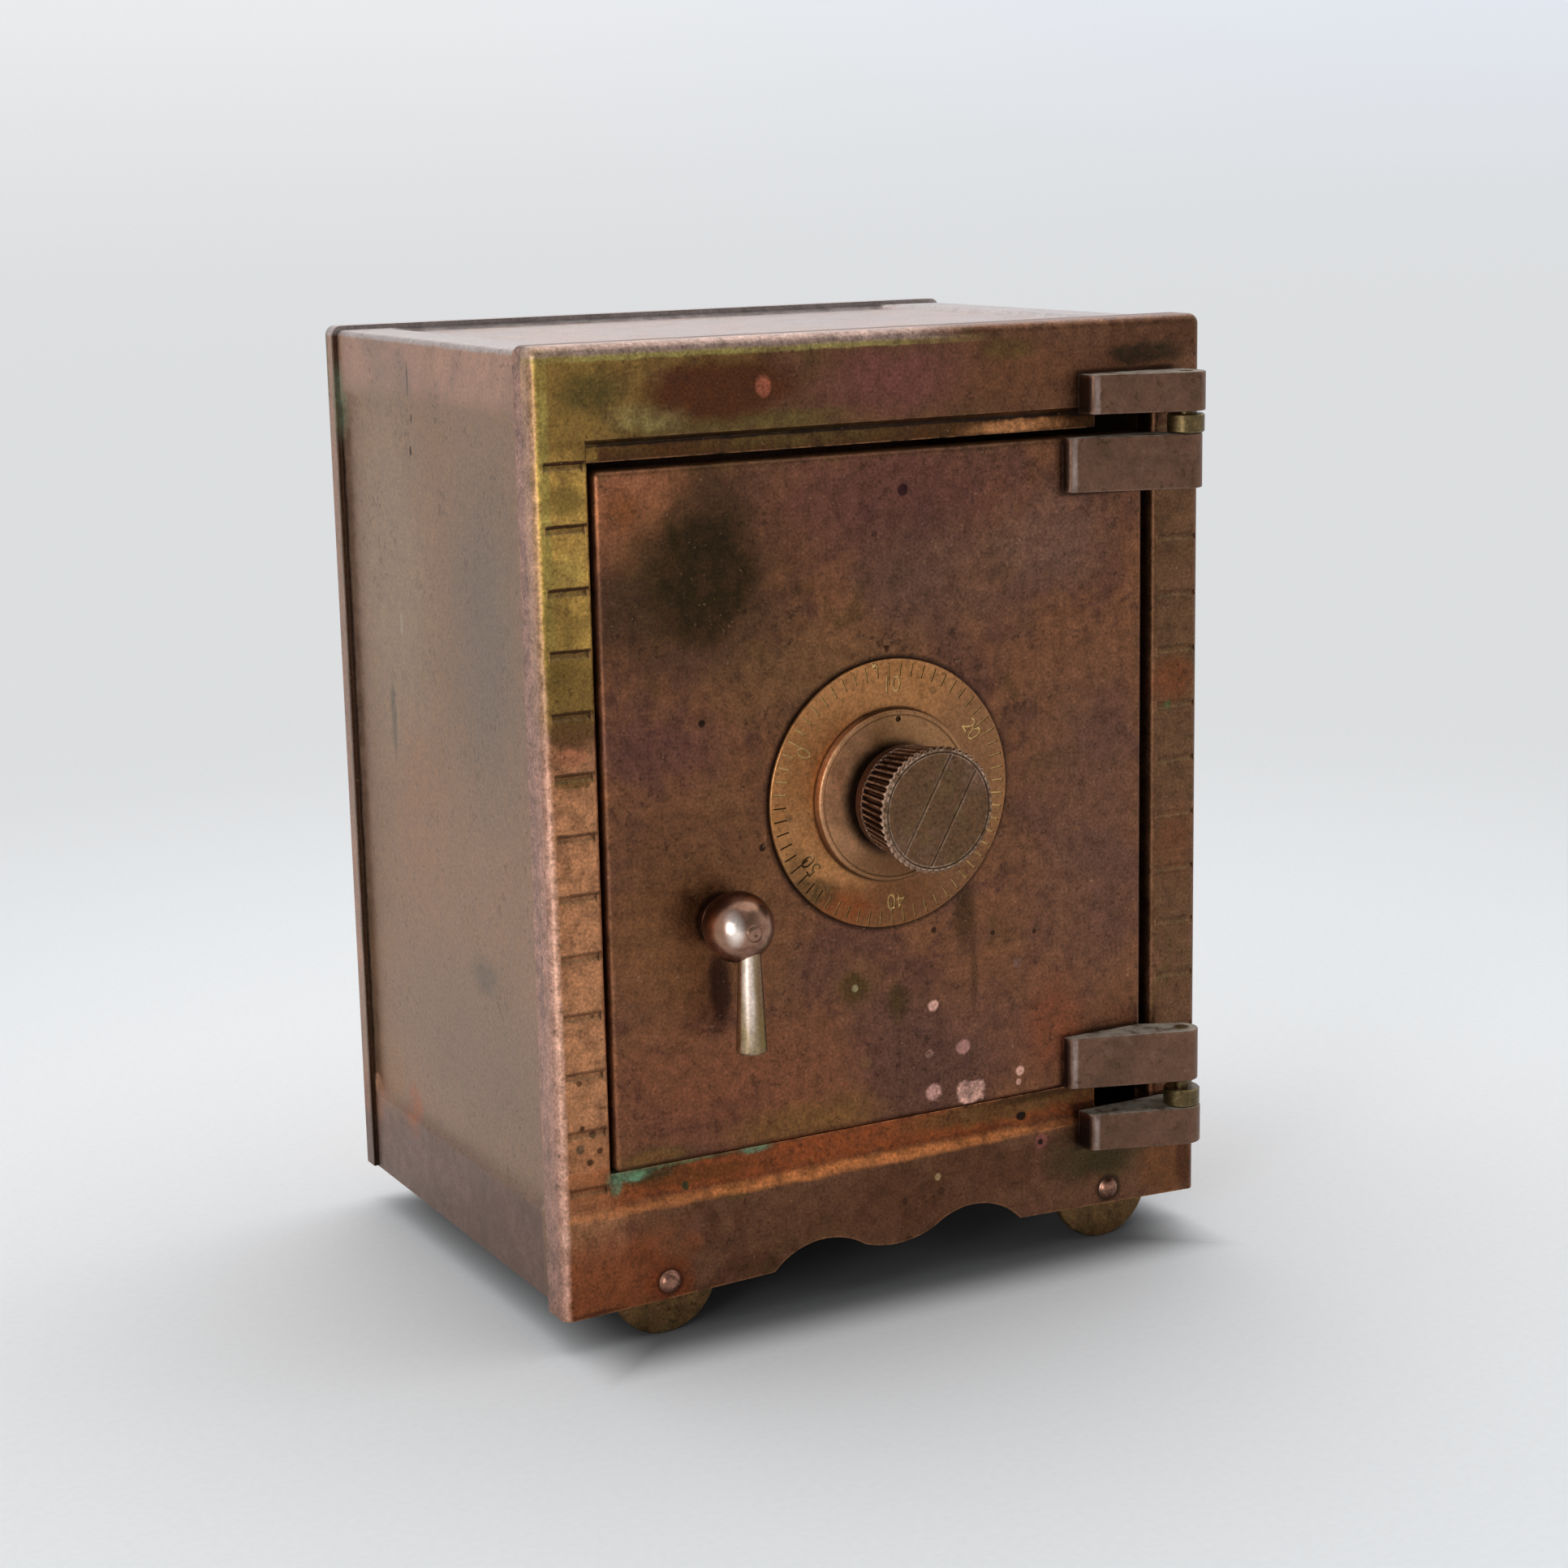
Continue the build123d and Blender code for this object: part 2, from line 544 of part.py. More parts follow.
def cover_studs():
    """Studs soldered inside the door."""
    return [rod_y(x, z, DOOR_INSIDE, DOOR_INSIDE + 2.6, STUD_RADIUS) for x, z in stud_places()]


def cover_nuts():
    """Hexagon nuts on the studs."""
    y0 = DOOR_INSIDE + SHEET
    hexagon = Plane.XZ.offset(-y0 - 1.3) * RegularPolygon(1.6, 6, major_radius=False)
    nut = chamfer(extrude(hexagon, amount=1.3).edges().filter_by(Plane.XZ), 0.12)
    return [Pos(x, 0, z) * nut - rod_y(x, z, y0 - 1, y0 + 3, STUD_RADIUS)
            for x, z in stud_places()]


# ---------------------------------------------------------------- dial
def dial_plate():
    """Thin turning plate divided into sixty, with a longer stroke at each ten."""
    plate = rod_y(DIAL_X, DIAL_Z, PLATE_FRONT, PLATE_BACK, DIAL_RADIUS)
    plate = chamfer(plate.edges().sort_by(Axis.Y)[0], 0.15)
    plate -= rod_y(DIAL_X, DIAL_Z, PLATE_FRONT - 1, PLATE_BACK + 1, SPINDLE_RADIUS + 0.2)
    strokes = []
    for index in range(DIAL_MARKS):
        length = 3.0 if index % 10 == 0 else 1.9
        middle = DIAL_RADIUS - 0.5 - length / 2
        stroke = Pos(0, PLATE_FRONT, middle) * Box(0.22, 0.3, length)
        strokes.append(Pos(DIAL_X, 0, DIAL_Z) * Rot(0, index * 360 / DIAL_MARKS, 0) * stroke)
    return plate - strokes


def dial_cap():
    """Raised disc on the dial plate, under the knob."""
    cap = rod_y(DIAL_X, DIAL_Z, CAP_FRONT, PLATE_FRONT, CAP_RADIUS)
    cap = fillet(cap.edges().sort_by(Axis.Y)[0], 0.35)
    return cap - rod_y(DIAL_X, DIAL_Z, CAP_FRONT - 1, PLATE_FRONT + 1, SPINDLE_RADIUS + 0.2)


def fluted_ring(radius, y):
    """Star outline of the knob at one depth."""
    points = []
    for step in range(2 * KNOB_FLUTES):
        reach = radius if step % 2 == 0 else radius - 0.35
        angle = pi * step / KNOB_FLUTES
        points.append((reach * cos(angle), reach * sin(angle)))
    return Plane.XZ.offset(-y) * Polygon(*points, align=None)


def dial_knob():
    """Fluted knob that widens to its face, on a plain hub."""
    rim_back = KNOB_FRONT + 0.7
    rim = KNOB_FACE_RADIUS
    core = KNOB_NECK_RADIUS - 0.3
    stem = 4.6
    body = loft([fluted_ring(KNOB_NECK_RADIUS, KNOB_BACK), fluted_ring(rim - 0.15, rim_back)],
                ruled=True)
    body += extrude(fluted_ring(rim, rim_back), amount=0.45)
    face = [(0, KNOB_FRONT), (rim - 0.55, KNOB_FRONT), (rim - 0.35, KNOB_FRONT + 0.3),
            (rim - 0.35, rim_back), (0, rim_back)]
    hub = [(0, rim_back), (core, rim_back), (core, KNOB_BACK), (stem, KNOB_BACK),
           (stem, CAP_FRONT), (0, CAP_FRONT)]
    knob = Pos(DIAL_X, 0, DIAL_Z) * body
    knob += turned(face, DIAL_X, DIAL_Z)
    knob += turned(hub, DIAL_X, DIAL_Z)
    ring = rod_y(DIAL_X, DIAL_Z, KNOB_FRONT - 1, KNOB_FRONT + 0.15, rim - 0.6)
    ring -= rod_y(DIAL_X, DIAL_Z, KNOB_FRONT - 2, KNOB_FRONT + 1, rim - 0.8)
    knob -= ring
    return knob - rod_y(DIAL_X, DIAL_Z, KNOB_BACK - 3, 0, SPINDLE_RADIUS)


def dial_spindle():
    """Shaft of the dial, drilled at its end for the retaining screw."""
    shaft = rod_y(DIAL_X, DIAL_Z, KNOB_BACK - 3, SPINDLE_END, SPINDLE_RADIUS)
    return shaft - rod_y(DIAL_X, DIAL_Z, 0, SPINDLE_END + 1, SCREW_RADIUS)


def spindle_screw():
    """Slotted screw that holds the gate cup on the spindle."""
    head_back = SPINDLE_END + 1.2
    screw = rod_y(DIAL_X, DIAL_Z, 0.3, SPINDLE_END, SCREW_RADIUS)
    head = rod_y(DIAL_X, DIAL_Z, SPINDLE_END, head_back, 2.7)
    head = fillet(head.edges().sort_by(Axis.Y)[-1], 0.3)
    slot = block(DIAL_X - 4, DIAL_X + 4, head_back - 0.5, head_back + 1,
                 DIAL_Z - 0.3, DIAL_Z + 0.3)
    return screw + head - slot


def gate_cup():
    """Lock wheel: a cup whose wall has one gate for the nose of the bolt."""
    outline = [(SPINDLE_RADIUS, CUP_FRONT), (CUP_RADIUS, CUP_FRONT), (CUP_RADIUS, CUP_BACK),
               (CUP_RADIUS - CUP_WALL, CUP_BACK), (CUP_RADIUS - CUP_WALL, CUP_FLOOR),
               (CUP_HUB_RADIUS, CUP_FLOOR), (CUP_HUB_RADIUS, SPINDLE_END),
               (SPINDLE_RADIUS, SPINDLE_END)]
    cup = turned(outline, DIAL_X, DIAL_Z)
    gate = block(DIAL_X + 5, DIAL_X + 12, CUP_FLOOR, CUP_BACK + 1,
                 DIAL_Z - GATE_WIDTH / 2, DIAL_Z + GATE_WIDTH / 2)
    return cup - gate


def wave_washer():
    """Dished spring washer that keeps the dial from turning too freely."""
    thickness = 0.25
    near, far = BUSH_FLANGE_BACK + TOUCH / 2, CUP_FRONT - TOUCH / 2
    bore, rim = SPINDLE_RADIUS + 0.2, 4.0
    outline = [(bore, far - thickness), (bore, far), (rim, near + thickness), (rim, near)]
    return turned(outline, DIAL_X, DIAL_Z)


# ---------------------------------------------------------------- handle and bolt
def handle_ball():
    """Turned ball with a small ring on its pole, flat where it meets the collar."""
    ball = Pos(HANDLE_X, BALL_Y, HANDLE_Z) * Sphere(BALL_RADIUS)
    seat = DOOR_FACE - TOUCH - COLLAR_THICKNESS
    ball -= block(HANDLE_X - 6, HANDLE_X + 6, seat, seat + 3, HANDLE_Z - 6, HANDLE_Z + 6)
    ball -= rod_y(HANDLE_X, HANDLE_Z, BALL_Y, 2, HANDLE_SPINDLE)
    pole = BALL_Y - BALL_RADIUS
    ring = rod_y(HANDLE_X, HANDLE_Z, pole - 1, pole + 0.3, 1.15)
    ring -= rod_y(HANDLE_X, HANDLE_Z, pole - 2, pole + 1, 0.95)
    return ball - ring - lever_solid()


def handle_collar():
    """Flat collar between the ball and the door."""
    seat = DOOR_FACE - TOUCH
    collar = rod_y(HANDLE_X, HANDLE_Z, seat - COLLAR_THICKNESS, seat, COLLAR_RADIUS)
    collar = fillet(collar.edges().sort_by(Axis.Y)[0], 0.4)
    return collar - rod_y(HANDLE_X, HANDLE_Z, seat - 2, seat + 1, HANDLE_SPINDLE)


def lever_solid():
    """Round lever that thickens to its flat end, set in the front of the ball."""
    top_z = HANDLE_Z - 1.5
    foot = Pos(0, 0, LEVER_FOOT) * Circle(2.1)
    head = Pos(0, 0, top_z) * Circle(1.42)
    rod = loft([foot, head])
    rod = chamfer(rod.edges().sort_by(Axis.Z)[0], 0.25)
    return Pos(LEVER_X, LEVER_Y, 0) * rod


def handle_spindle():
    """Shaft of the handle, from the middle of the ball to the crank."""
    return rod_y(HANDLE_X, HANDLE_Z, BALL_Y, CRANK_BACK, HANDLE_SPINDLE)


def bolt_crank():
    """Crank on the handle spindle whose pin drives the bolt."""
    turn = radians(CRANK_TURN)
    pin_x = HANDLE_X + CRANK_RADIUS * sin(turn)
    pin_z = HANDLE_Z - CRANK_RADIUS * cos(turn)
    arm = rod_y(HANDLE_X, HANDLE_Z, CRANK_FRONT, CRANK_BACK, 3.4)
    arm += rod_y(pin_x, pin_z, CRANK_FRONT, CRANK_BACK, 1.7)
    arm += rod_y(pin_x, pin_z, CRANK_BACK, BOLT_BACK + 0.6, CRANK_PIN)
    return arm - rod_y(HANDLE_X, HANDLE_Z, CRANK_FRONT - 1, CRANK_BACK + 1, HANDLE_SPINDLE)


def lock_bolt():
    """Sliding bolt: bar, crank slot, rising arm and the nose that seeks the gate."""
    low, high = HANDLE_Z - BOLT_HALF_HEIGHT, HANDLE_Z + BOLT_HALF_HEIGHT
    outline = [(BOLT_TIP, low), (-3.0, low), (NOSE_FAR + 0.8, DIAL_Z - 4.2),
               (NOSE_FAR + 0.8, DIAL_Z + 2.6), (NOSE_NEAR - 1.2, DIAL_Z + 2.6),
               (NOSE_NEAR - 1.2, DIAL_Z - 1.4), (-5.6, high), (BOLT_TIP, high)]
    bolt = prism_y(outline, BOLT_FRONT, BOLT_BACK)
    bolt = chamfer(edges_at(bolt, Axis.Z, X=BOLT_TIP), 0.4)
    nose_half = GATE_WIDTH / 2 - 0.5
    bolt += block(NOSE_NEAR, NOSE_FAR, CUP_FLOOR + 0.6, BOLT_FRONT, DIAL_Z - nose_half,
                  DIAL_Z + nose_half)
    slot_x = HANDLE_X + BOLT_TRAVEL / 2
    slot_half = CRANK_PIN + 0.2
    bolt -= block(slot_x - slot_half, slot_x + slot_half, BOLT_FRONT - 1, BOLT_BACK + 1,
                  HANDLE_Z - CRANK_RADIUS - CRANK_PIN - 0.3, HANDLE_Z - 0.6)
    return bolt


# ---------------------------------------------------------------- write the pieces
def build():
    """Write every piece."""
    os.makedirs("parts", exist_ok=True)
    node("front_frame", front_frame())
    node("body_wrap", body_wrap())
    node("back_panel", back_panel())
    node("floor_plate", floor_plate())
    node("door_stops", *door_stops())
    node("bolt_keeper", bolt_keeper())
    for name, place in WHEEL_PLACES.items():
        node(f"wheel_{name}", wheel(*place))
    node("wheel_spacers", *[spacer(*place) for place in WHEEL_PLACES.values()])
    node("axle_rivets", *[axle_rivet(*place) for place in WHEEL_PLACES.values()])
    for name, foot in zip(("lower", "upper"), FRAME_BLOCK_FEET):
        node(f"{name}_frame_hinge_block", frame_hinge_block(foot))
    for name, foot in zip(("lower", "upper"), DOOR_BLOCK_FEET):
        node(f"{name}_door_hinge_block", door_hinge_block(foot))
    node("hinge_washers", *hinge_washers())
    node("hinge_pins", *hinge_pins())
    node("frame_block_rivets", *rivets(frame_rivet_places(), FACE_SHEET))
    node("door_block_rivets", *rivets(door_rivet_places(), DOOR_INSIDE))
    node("door_panel", door_panel())
    node("dial_bushing", bushing(DIAL_X, DIAL_Z, SPINDLE_RADIUS))
    node("handle_bushing", bushing(HANDLE_X, HANDLE_Z, HANDLE_SPINDLE))
    node("bolt_guide_left", bolt_guide(-38.0))
    node("bolt_guide_right", bolt_guide(-15.4))
    node("lock_cover", lock_cover())
    node("cover_studs", *cover_studs())
    node("cover_nuts", *cover_nuts())
    node("dial_plate", dial_plate())
    node("dial_cap", dial_cap())
    node("dial_knob", dial_knob())
    node("dial_spindle", dial_spindle())
    node("spindle_screw", spindle_screw())
    node("gate_cup", gate_cup())
    node("wave_washer", wave_washer())
    node("handle_ball", handle_ball())
    node("handle_collar", handle_collar())
    node("handle_lever", lever_solid())
    node("handle_spindle", handle_spindle())
    node("bolt_crank", bolt_crank())
    node("lock_bolt", lock_bolt())


build()
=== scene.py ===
"""Looks of a miniature combination safe in aged, copper-washed brass sheet.

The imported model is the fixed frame: every length here is in metres in its frame, with
+Z up, the front towards -Y and the ground at Z = 0. Sizes of details are given in
millimetres and turned to metres by MM.
"""
import logging
import math
from dataclasses import dataclass
from enum import Enum

import bmesh
import bpy
from mathutils import Matrix, Vector


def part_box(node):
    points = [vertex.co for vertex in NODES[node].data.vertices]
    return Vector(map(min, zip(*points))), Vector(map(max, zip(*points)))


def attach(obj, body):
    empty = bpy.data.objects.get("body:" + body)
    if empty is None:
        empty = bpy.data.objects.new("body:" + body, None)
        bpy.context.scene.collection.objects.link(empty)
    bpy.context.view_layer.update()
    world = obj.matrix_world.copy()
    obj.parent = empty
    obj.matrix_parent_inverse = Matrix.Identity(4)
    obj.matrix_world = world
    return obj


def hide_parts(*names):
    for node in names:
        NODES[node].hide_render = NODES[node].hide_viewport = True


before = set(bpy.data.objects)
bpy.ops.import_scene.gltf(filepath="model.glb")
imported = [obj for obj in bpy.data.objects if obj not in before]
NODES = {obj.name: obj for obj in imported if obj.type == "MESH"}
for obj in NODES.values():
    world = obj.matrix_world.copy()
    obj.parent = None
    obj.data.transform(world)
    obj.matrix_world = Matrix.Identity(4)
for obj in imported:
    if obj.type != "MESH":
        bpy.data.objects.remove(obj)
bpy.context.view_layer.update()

MM = 0.001
LOG = logging.getLogger("miniature_safe")


# ---------------------------------------------------------------- small helpers
def linear(colour: str) -> tuple[float, float, float, float]:
    """Turn an sRGB hex colour into linear red, green, blue and alpha.

    Args:
        colour: Six hex digits after a hash.

    Returns:
        The linear colour with an alpha of one.
    """
    parts = [int(colour[i:i + 2], 16) / 255 for i in (1, 3, 5)]
    values = [c / 12.92 if c <= 0.04045 else ((c + 0.055) / 1.055) ** 2.4 for c in parts]
    return (*values, 1.0)


def add_node(tree: bpy.types.NodeTree, kind: str, inputs: dict | None = None,
             **settings: object) -> bpy.types.Node:
    """Add one node, with its settings, its values and the links that feed it.

    Args:
        tree: The node tree that gets the node.
        kind: Blender's name of the node type.
        inputs: Values or output sockets by input name or index.
        settings: Properties of the node.

    Returns:
        The new node.
    """
    node = tree.nodes.new(kind)
    for name, value in settings.items():
        setattr(node, name, value)
    for key, value in (inputs or {}).items():
        if isinstance(value, bpy.types.NodeSocket):
            tree.links.new(value, node.inputs[key])
        else:
            node.inputs[key].default_value = value
    return node


# ---------------------------------------------------------------- finishes
class Form(Enum):
    """Outline of a mark."""

    ROUND = "round"
    SQUARE = "square"


BROAD = 900.0                 # reach of a mark, in millimetres, that spans the whole safe
MARK_FADE = 0.2               # half the depth over which the marks of a front fade out


@dataclass(frozen=True)
class Mark:
    """One patch of other colour on a surface, such as a stain, a worn edge, dirt, a painted
    shadow or a painted highlight.

    Sizes are in millimetres in the safe's own frame, and a reach of BROAD on an axis
    makes the patch a band across that axis. A dull mark is a crust or paint-like stain
    that hides the metal's own gloss.
    """

    colour: str
    centre: tuple[float, float, float]
    reach: tuple[float, float, float]
    strength: float = 1.0
    soft: float = 0.35
    mottle: float = 0.0
    ragged: float = 1.0
    form: Form = Form.ROUND
    dull: bool = False


@dataclass(frozen=True)
class Bloom:
    """One irregular change of colour all over a surface, where a noise runs high."""

    colour: str
    size_mm: float
    start: float
    full: float
    share: float
    shift: float = 0.0
    twist: float = 0.7
    stretch: tuple[float, float, float] = (1.0, 1.0, 1.0)


@dataclass(frozen=True)
class Courses:
    """Pressed joints at even heights on both jambs: a dark line, dirt with painted shade, and a
    painted highlight on the lip below.

    Sizes are in millimetres; inner and outer bound the joints on either side of X = 0.
    """

    first: float
    pitch: float
    count: int
    inner: float
    outer: float
    dark: str
    lip_highlight: str
    right_share: float = 0.3


@dataclass(frozen=True)
class Patina:
    """An aged copper-washed brass surface, from its blooms down to its grain.

    Marks that run through in depth end at marks_end, so that a stain on a front doesn't
    show on its back.
    """

    name: str
    ground: str
    blooms: tuple[Bloom, ...] = ()
    marks: tuple[Mark, ...] = ()
    fleck_mm: float = 2.2
    grain_mm: float = 0.42
    fleck_share: float = 0.34
    grain_share: float = 0.36
    speck: str = "#2A1A10"
    speck_share: float = 0.45
    glint: str = "#9A7A5C"
    glint_share: float = 0.35
    metallic: float = 0.85
    roughness: tuple[float, float] = (0.36, 0.50)
    relief_mm: float = 0.03
    dent_mm: float = 0.0
    dent_size_mm: float = 26.0
    seed: float = 0.0
    wear_and_highlight: str = "#A97C5C"
    wear_and_highlight_share: float = 0.5
    wear_and_highlight_mm: float = 0.3
    nook_colour: str = "#1C120A"
    nook_share: float = 0.65
    nook_mm: float = 1.6
    dust: str = "#6F675A"
    dust_share: float = 0.0
    courses: Courses | None = None
    marks_end: float = BROAD

    def build(self) -> bpy.types.Material:
        """Make the node material.

        Returns:
            The finished material.
        """
        material = bpy.data.materials.new(self.name)
        material.use_nodes = True
        tree = material.node_tree
        tree.nodes.clear()
        place = add_node(tree, "ShaderNodeTexCoord").outputs["Object"]
        mm = add_node(tree, "ShaderNodeVectorMath", {0: place, 1: (1 / MM,) * 3},
                      operation="MULTIPLY").outputs[0]
        drift = add_node(tree, "ShaderNodeVectorMath",
                         {0: mm, 1: tuple(self.seed * s for s in (17.0, 31.0, 53.0))},
                         operation="ADD").outputs[0]
        fleck = self._noise(tree, drift, self.fleck_mm, 5, 0.65)
        grain = self._noise(tree, drift, self.grain_mm, 3, 0.6)
        colour = add_node(tree, "ShaderNodeRGB")
        colour.outputs[0].default_value = linear(self.ground)
        colour = colour.outputs[0]
        for bloom in self.blooms:
            colour = self._bloom(tree, bloom, drift, colour)
        wobble = add_node(tree, "ShaderNodeVectorMath",
                          {0: self._noise(tree, drift, 3.2, 4, 0.6).outputs["Color"],
                           1: (0.5, 0.5, 0.5)}, operation="SUBTRACT").outputs[0]
        colour, crust = self._marked(tree, mm, wobble, fleck.outputs["Fac"], colour)
        if self.courses:
            colour = self._joints(tree, self.courses, mm, wobble, colour)
        colour = self._speckle(tree, drift, grain.outputs["Fac"], colour)
        colour = self._wear_and_highlight(tree, fleck.outputs["Fac"], colour)
        colour = self._darken_nooks(tree, fleck.outputs["Fac"], colour)
        if self.dust_share:
            dust = self._dust(tree, place, fleck.outputs["Fac"])
            colour = self._mix(tree, dust, colour, linear(self.dust))
            crust = dust if crust is None else self._math(tree, "MAXIMUM", crust, dust)
        colour = self._shade(tree, fleck.outputs["Fac"], grain.outputs["Fac"], colour)
        rough = add_node(tree, "ShaderNodeMapRange",
                         {"Value": fleck.outputs["Fac"], "From Min": 0.3, "From Max": 0.7,
                          "To Min": self.roughness[0], "To Max": self.roughness[1]}).outputs[0]
        metal: float | bpy.types.NodeSocket = self.metallic
        if crust is not None:
            metal = add_node(tree, "ShaderNodeMapRange",
                             {"Value": crust, "To Min": self.metallic, "To Max": 0.1}).outputs[0]
            rough = add_node(tree, "ShaderNodeMapRange",
                             {"Value": crust, "To Min": rough, "To Max": 0.8}).outputs[0]
        shader = add_node(tree, "ShaderNodeBsdfPrincipled",
                          {"Base Color": colour, "Metallic": metal, "Roughness": rough,
                           "Normal": self._relief(tree, drift, grain.outputs["Fac"])})
        add_node(tree, "ShaderNodeOutputMaterial", {"Surface": shader.outputs[0]})
        return material

    @staticmethod
    def _noise(tree: bpy.types.NodeTree, vector: bpy.types.NodeSocket, size_mm: float,
               detail: float, rough: float, twist: float = 0.0) -> bpy.types.Node:
        """Noise whose largest lumps measure size_mm."""
        return add_node(tree, "ShaderNodeTexNoise",
                        {"Vector": vector, "Scale": 1 / size_mm, "Detail": detail,
                         "Roughness": rough, "Distortion": twist})

    @staticmethod
    def _ramp(tree: bpy.types.NodeTree, value: bpy.types.NodeSocket, low: float,
              high: float, share: float) -> bpy.types.NodeSocket:
        """Smooth step of a value from low to high, scaled to share."""
        return add_node(tree, "ShaderNodeMapRange",
                        {"Value": value, "From Min": low, "From Max": high, "To Max": share},
                        interpolation_type="SMOOTHSTEP").outputs[0]

    @staticmethod
    def _math(tree: bpy.types.NodeTree, operation: str, first: object,
              second: object) -> bpy.types.NodeSocket:
        """Result of one sum on two values."""
        return add_node(tree, "ShaderNodeMath", {0: first, 1: second},
                        operation=operation).outputs[0]

    @staticmethod
    def _mix(tree: bpy.types.NodeTree, factor: bpy.types.NodeSocket, below: object,
             above: object) -> bpy.types.NodeSocket:
        """Mix of two colours."""
        return add_node(tree, "ShaderNodeMix", {"Factor": factor, 6: below, 7: above},
                        data_type="RGBA").outputs[2]

    def _bloom(self, tree: bpy.types.NodeTree, bloom: Bloom, drift: bpy.types.NodeSocket,
               colour: bpy.types.NodeSocket) -> bpy.types.NodeSocket:
        """Lay one bloom over the colour so far.

        Args:
            tree: The material's node tree.
            bloom: The bloom to lay.
            drift: The place on the object, moved by the seed, in millimetres.
            colour: The colour under the bloom.

        Returns:
            The colour with the bloom on it.
        """
        moved = add_node(tree, "ShaderNodeVectorMath",
                         {0: drift, 1: bloom.stretch, 2: (bloom.shift * 90,) * 3},
                         operation="MULTIPLY_ADD").outputs[0]
        noise = self._noise(tree, moved, bloom.size_mm, 5, 0.6, bloom.twist)
        factor = self._ramp(tree, noise.outputs["Fac"], bloom.start, bloom.full, bloom.share)
        return self._mix(tree, factor, colour, linear(bloom.colour))

    def _marked(self, tree: bpy.types.NodeTree, mm: bpy.types.NodeSocket,
                wobble: bpy.types.NodeSocket, fleck: bpy.types.NodeSocket,
                colour: bpy.types.NodeSocket
                ) -> tuple[bpy.types.NodeSocket, bpy.types.NodeSocket | None]:
        """Lay the marks over the colour, in their order.

        Args:
            tree: The material's node tree.
            mm: The place on the object, in millimetres.
            wobble: A noise vector that makes the edges ragged.
            fleck: A fine noise that breaks the marks up.
            colour: The colour under the marks.

        Returns:
            The colour with its marks, and the share of dull crust, if there is any.
        """
        crust: bpy.types.NodeSocket | None = None
        depth = add_node(tree, "ShaderNodeSeparateXYZ", {0: mm}).outputs[1]
        outside = self._ramp(tree, depth, self.marks_end + MARK_FADE,
                             self.marks_end - MARK_FADE, 1.0)
        for mark in self.marks:
            factor = self._reach(tree, mark, mm, wobble, fleck)
            if mark.reach[1] == BROAD:
                factor = self._math(tree, "MULTIPLY", factor, outside)
            colour = self._mix(tree, factor, colour, linear(mark.colour))
            if mark.dull:
                crust = factor if crust is None else self._math(tree, "MAXIMUM", crust, factor)
        return colour, crust

    def _reach(self, tree: bpy.types.NodeTree, mark: Mark, mm: bpy.types.NodeSocket,
               wobble: bpy.types.NodeSocket,
               fleck: bpy.types.NodeSocket) -> bpy.types.NodeSocket:
        """Share of one mark at each place.

        Args:
            tree: The material's node tree.
            mark: The mark.
            mm: The place on the object, in millimetres.
            wobble: A noise vector that makes the edge ragged.
            fleck: A fine noise that breaks the mark up.

        Returns:
            The share, from 0 to the mark's strength.
        """
        if mark.ragged:
            mm = add_node(tree, "ShaderNodeVectorMath",
                          {0: wobble, 1: (mark.ragged * 2,) * 3, 2: mm},
                          operation="MULTIPLY_ADD").outputs[0]
        away = add_node(tree, "ShaderNodeVectorMath", {0: mm, 1: mark.centre},
                        operation="SUBTRACT").outputs[0]
        scaled = add_node(tree, "ShaderNodeVectorMath", {0: away, 1: mark.reach},
                          operation="DIVIDE").outputs[0]
        if mark.form is Form.SQUARE:
            sides = add_node(tree, "ShaderNodeVectorMath", {0: scaled},
                             operation="ABSOLUTE").outputs[0]
            split = add_node(tree, "ShaderNodeSeparateXYZ", {0: sides}).outputs
            wide = self._math(tree, "MAXIMUM", split[0], split[1])
            reach = self._math(tree, "MAXIMUM", wide, split[2])
        else:
            reach = add_node(tree, "ShaderNodeVectorMath", {0: scaled},
                             operation="LENGTH").outputs["Value"]
        factor = self._ramp(tree, reach, 1 + mark.soft, 1 - mark.soft, mark.strength)
        if mark.mottle:
            broken = add_node(tree, "ShaderNodeMapRange",
                              {"Value": fleck, "From Min": 0.38, "From Max": 0.56,
                               "To Min": 1 - mark.mottle}).outputs[0]
            factor = self._math(tree, "MULTIPLY", factor, broken)
        return factor

    def _joints(self, tree: bpy.types.NodeTree, rows: Courses, mm: bpy.types.NodeSocket,
                wobble: bpy.types.NodeSocket,
                colour: bpy.types.NodeSocket) -> bpy.types.NodeSocket:
        """Draw the pressed joints' dark lines, dirt with painted shade, and the painted highlight
        on the lip below.

        Args:
            tree: The material's node tree.
            rows: The joints.
            mm: The place on the object, in millimetres.
            wobble: A noise vector that makes the lines uneven.
            colour: The colour so far.

        Returns:
            The colour with its joints.
        """
        bent = add_node(tree, "ShaderNodeVectorMath", {0: wobble, 1: (0.4,) * 3, 2: mm},
                        operation="MULTIPLY_ADD").outputs[0]
        split = add_node(tree, "ShaderNodeSeparateXYZ", {0: bent}).outputs
        rise = self._math(tree, "SUBTRACT", split[2], rows.first - rows.pitch / 2)
        turns = self._math(tree, "DIVIDE", rise, rows.pitch)
        share = self._math(tree, "SUBTRACT", self._math(tree, "FRACT", turns, 0.0), 0.5)
        above = self._math(tree, "MULTIPLY", share, rows.pitch)
        across = self._math(tree, "ABSOLUTE", split[0], 0.0)
        band = self._math(tree, "MULTIPLY",
                          self._ramp(tree, across, rows.inner - 0.2, rows.inner + 0.2, 1.0),
                          self._ramp(tree, across, rows.outer + 0.2, rows.outer - 0.2, 1.0))
        middle = (rows.count - 1) / 2 + 0.5
        off = self._math(tree, "ABSOLUTE", self._math(tree, "SUBTRACT", turns, middle), 0.0)
        band = self._math(tree, "MULTIPLY", band,
                          self._ramp(tree, off, rows.count / 2 + 0.05, rows.count / 2, 1.0))
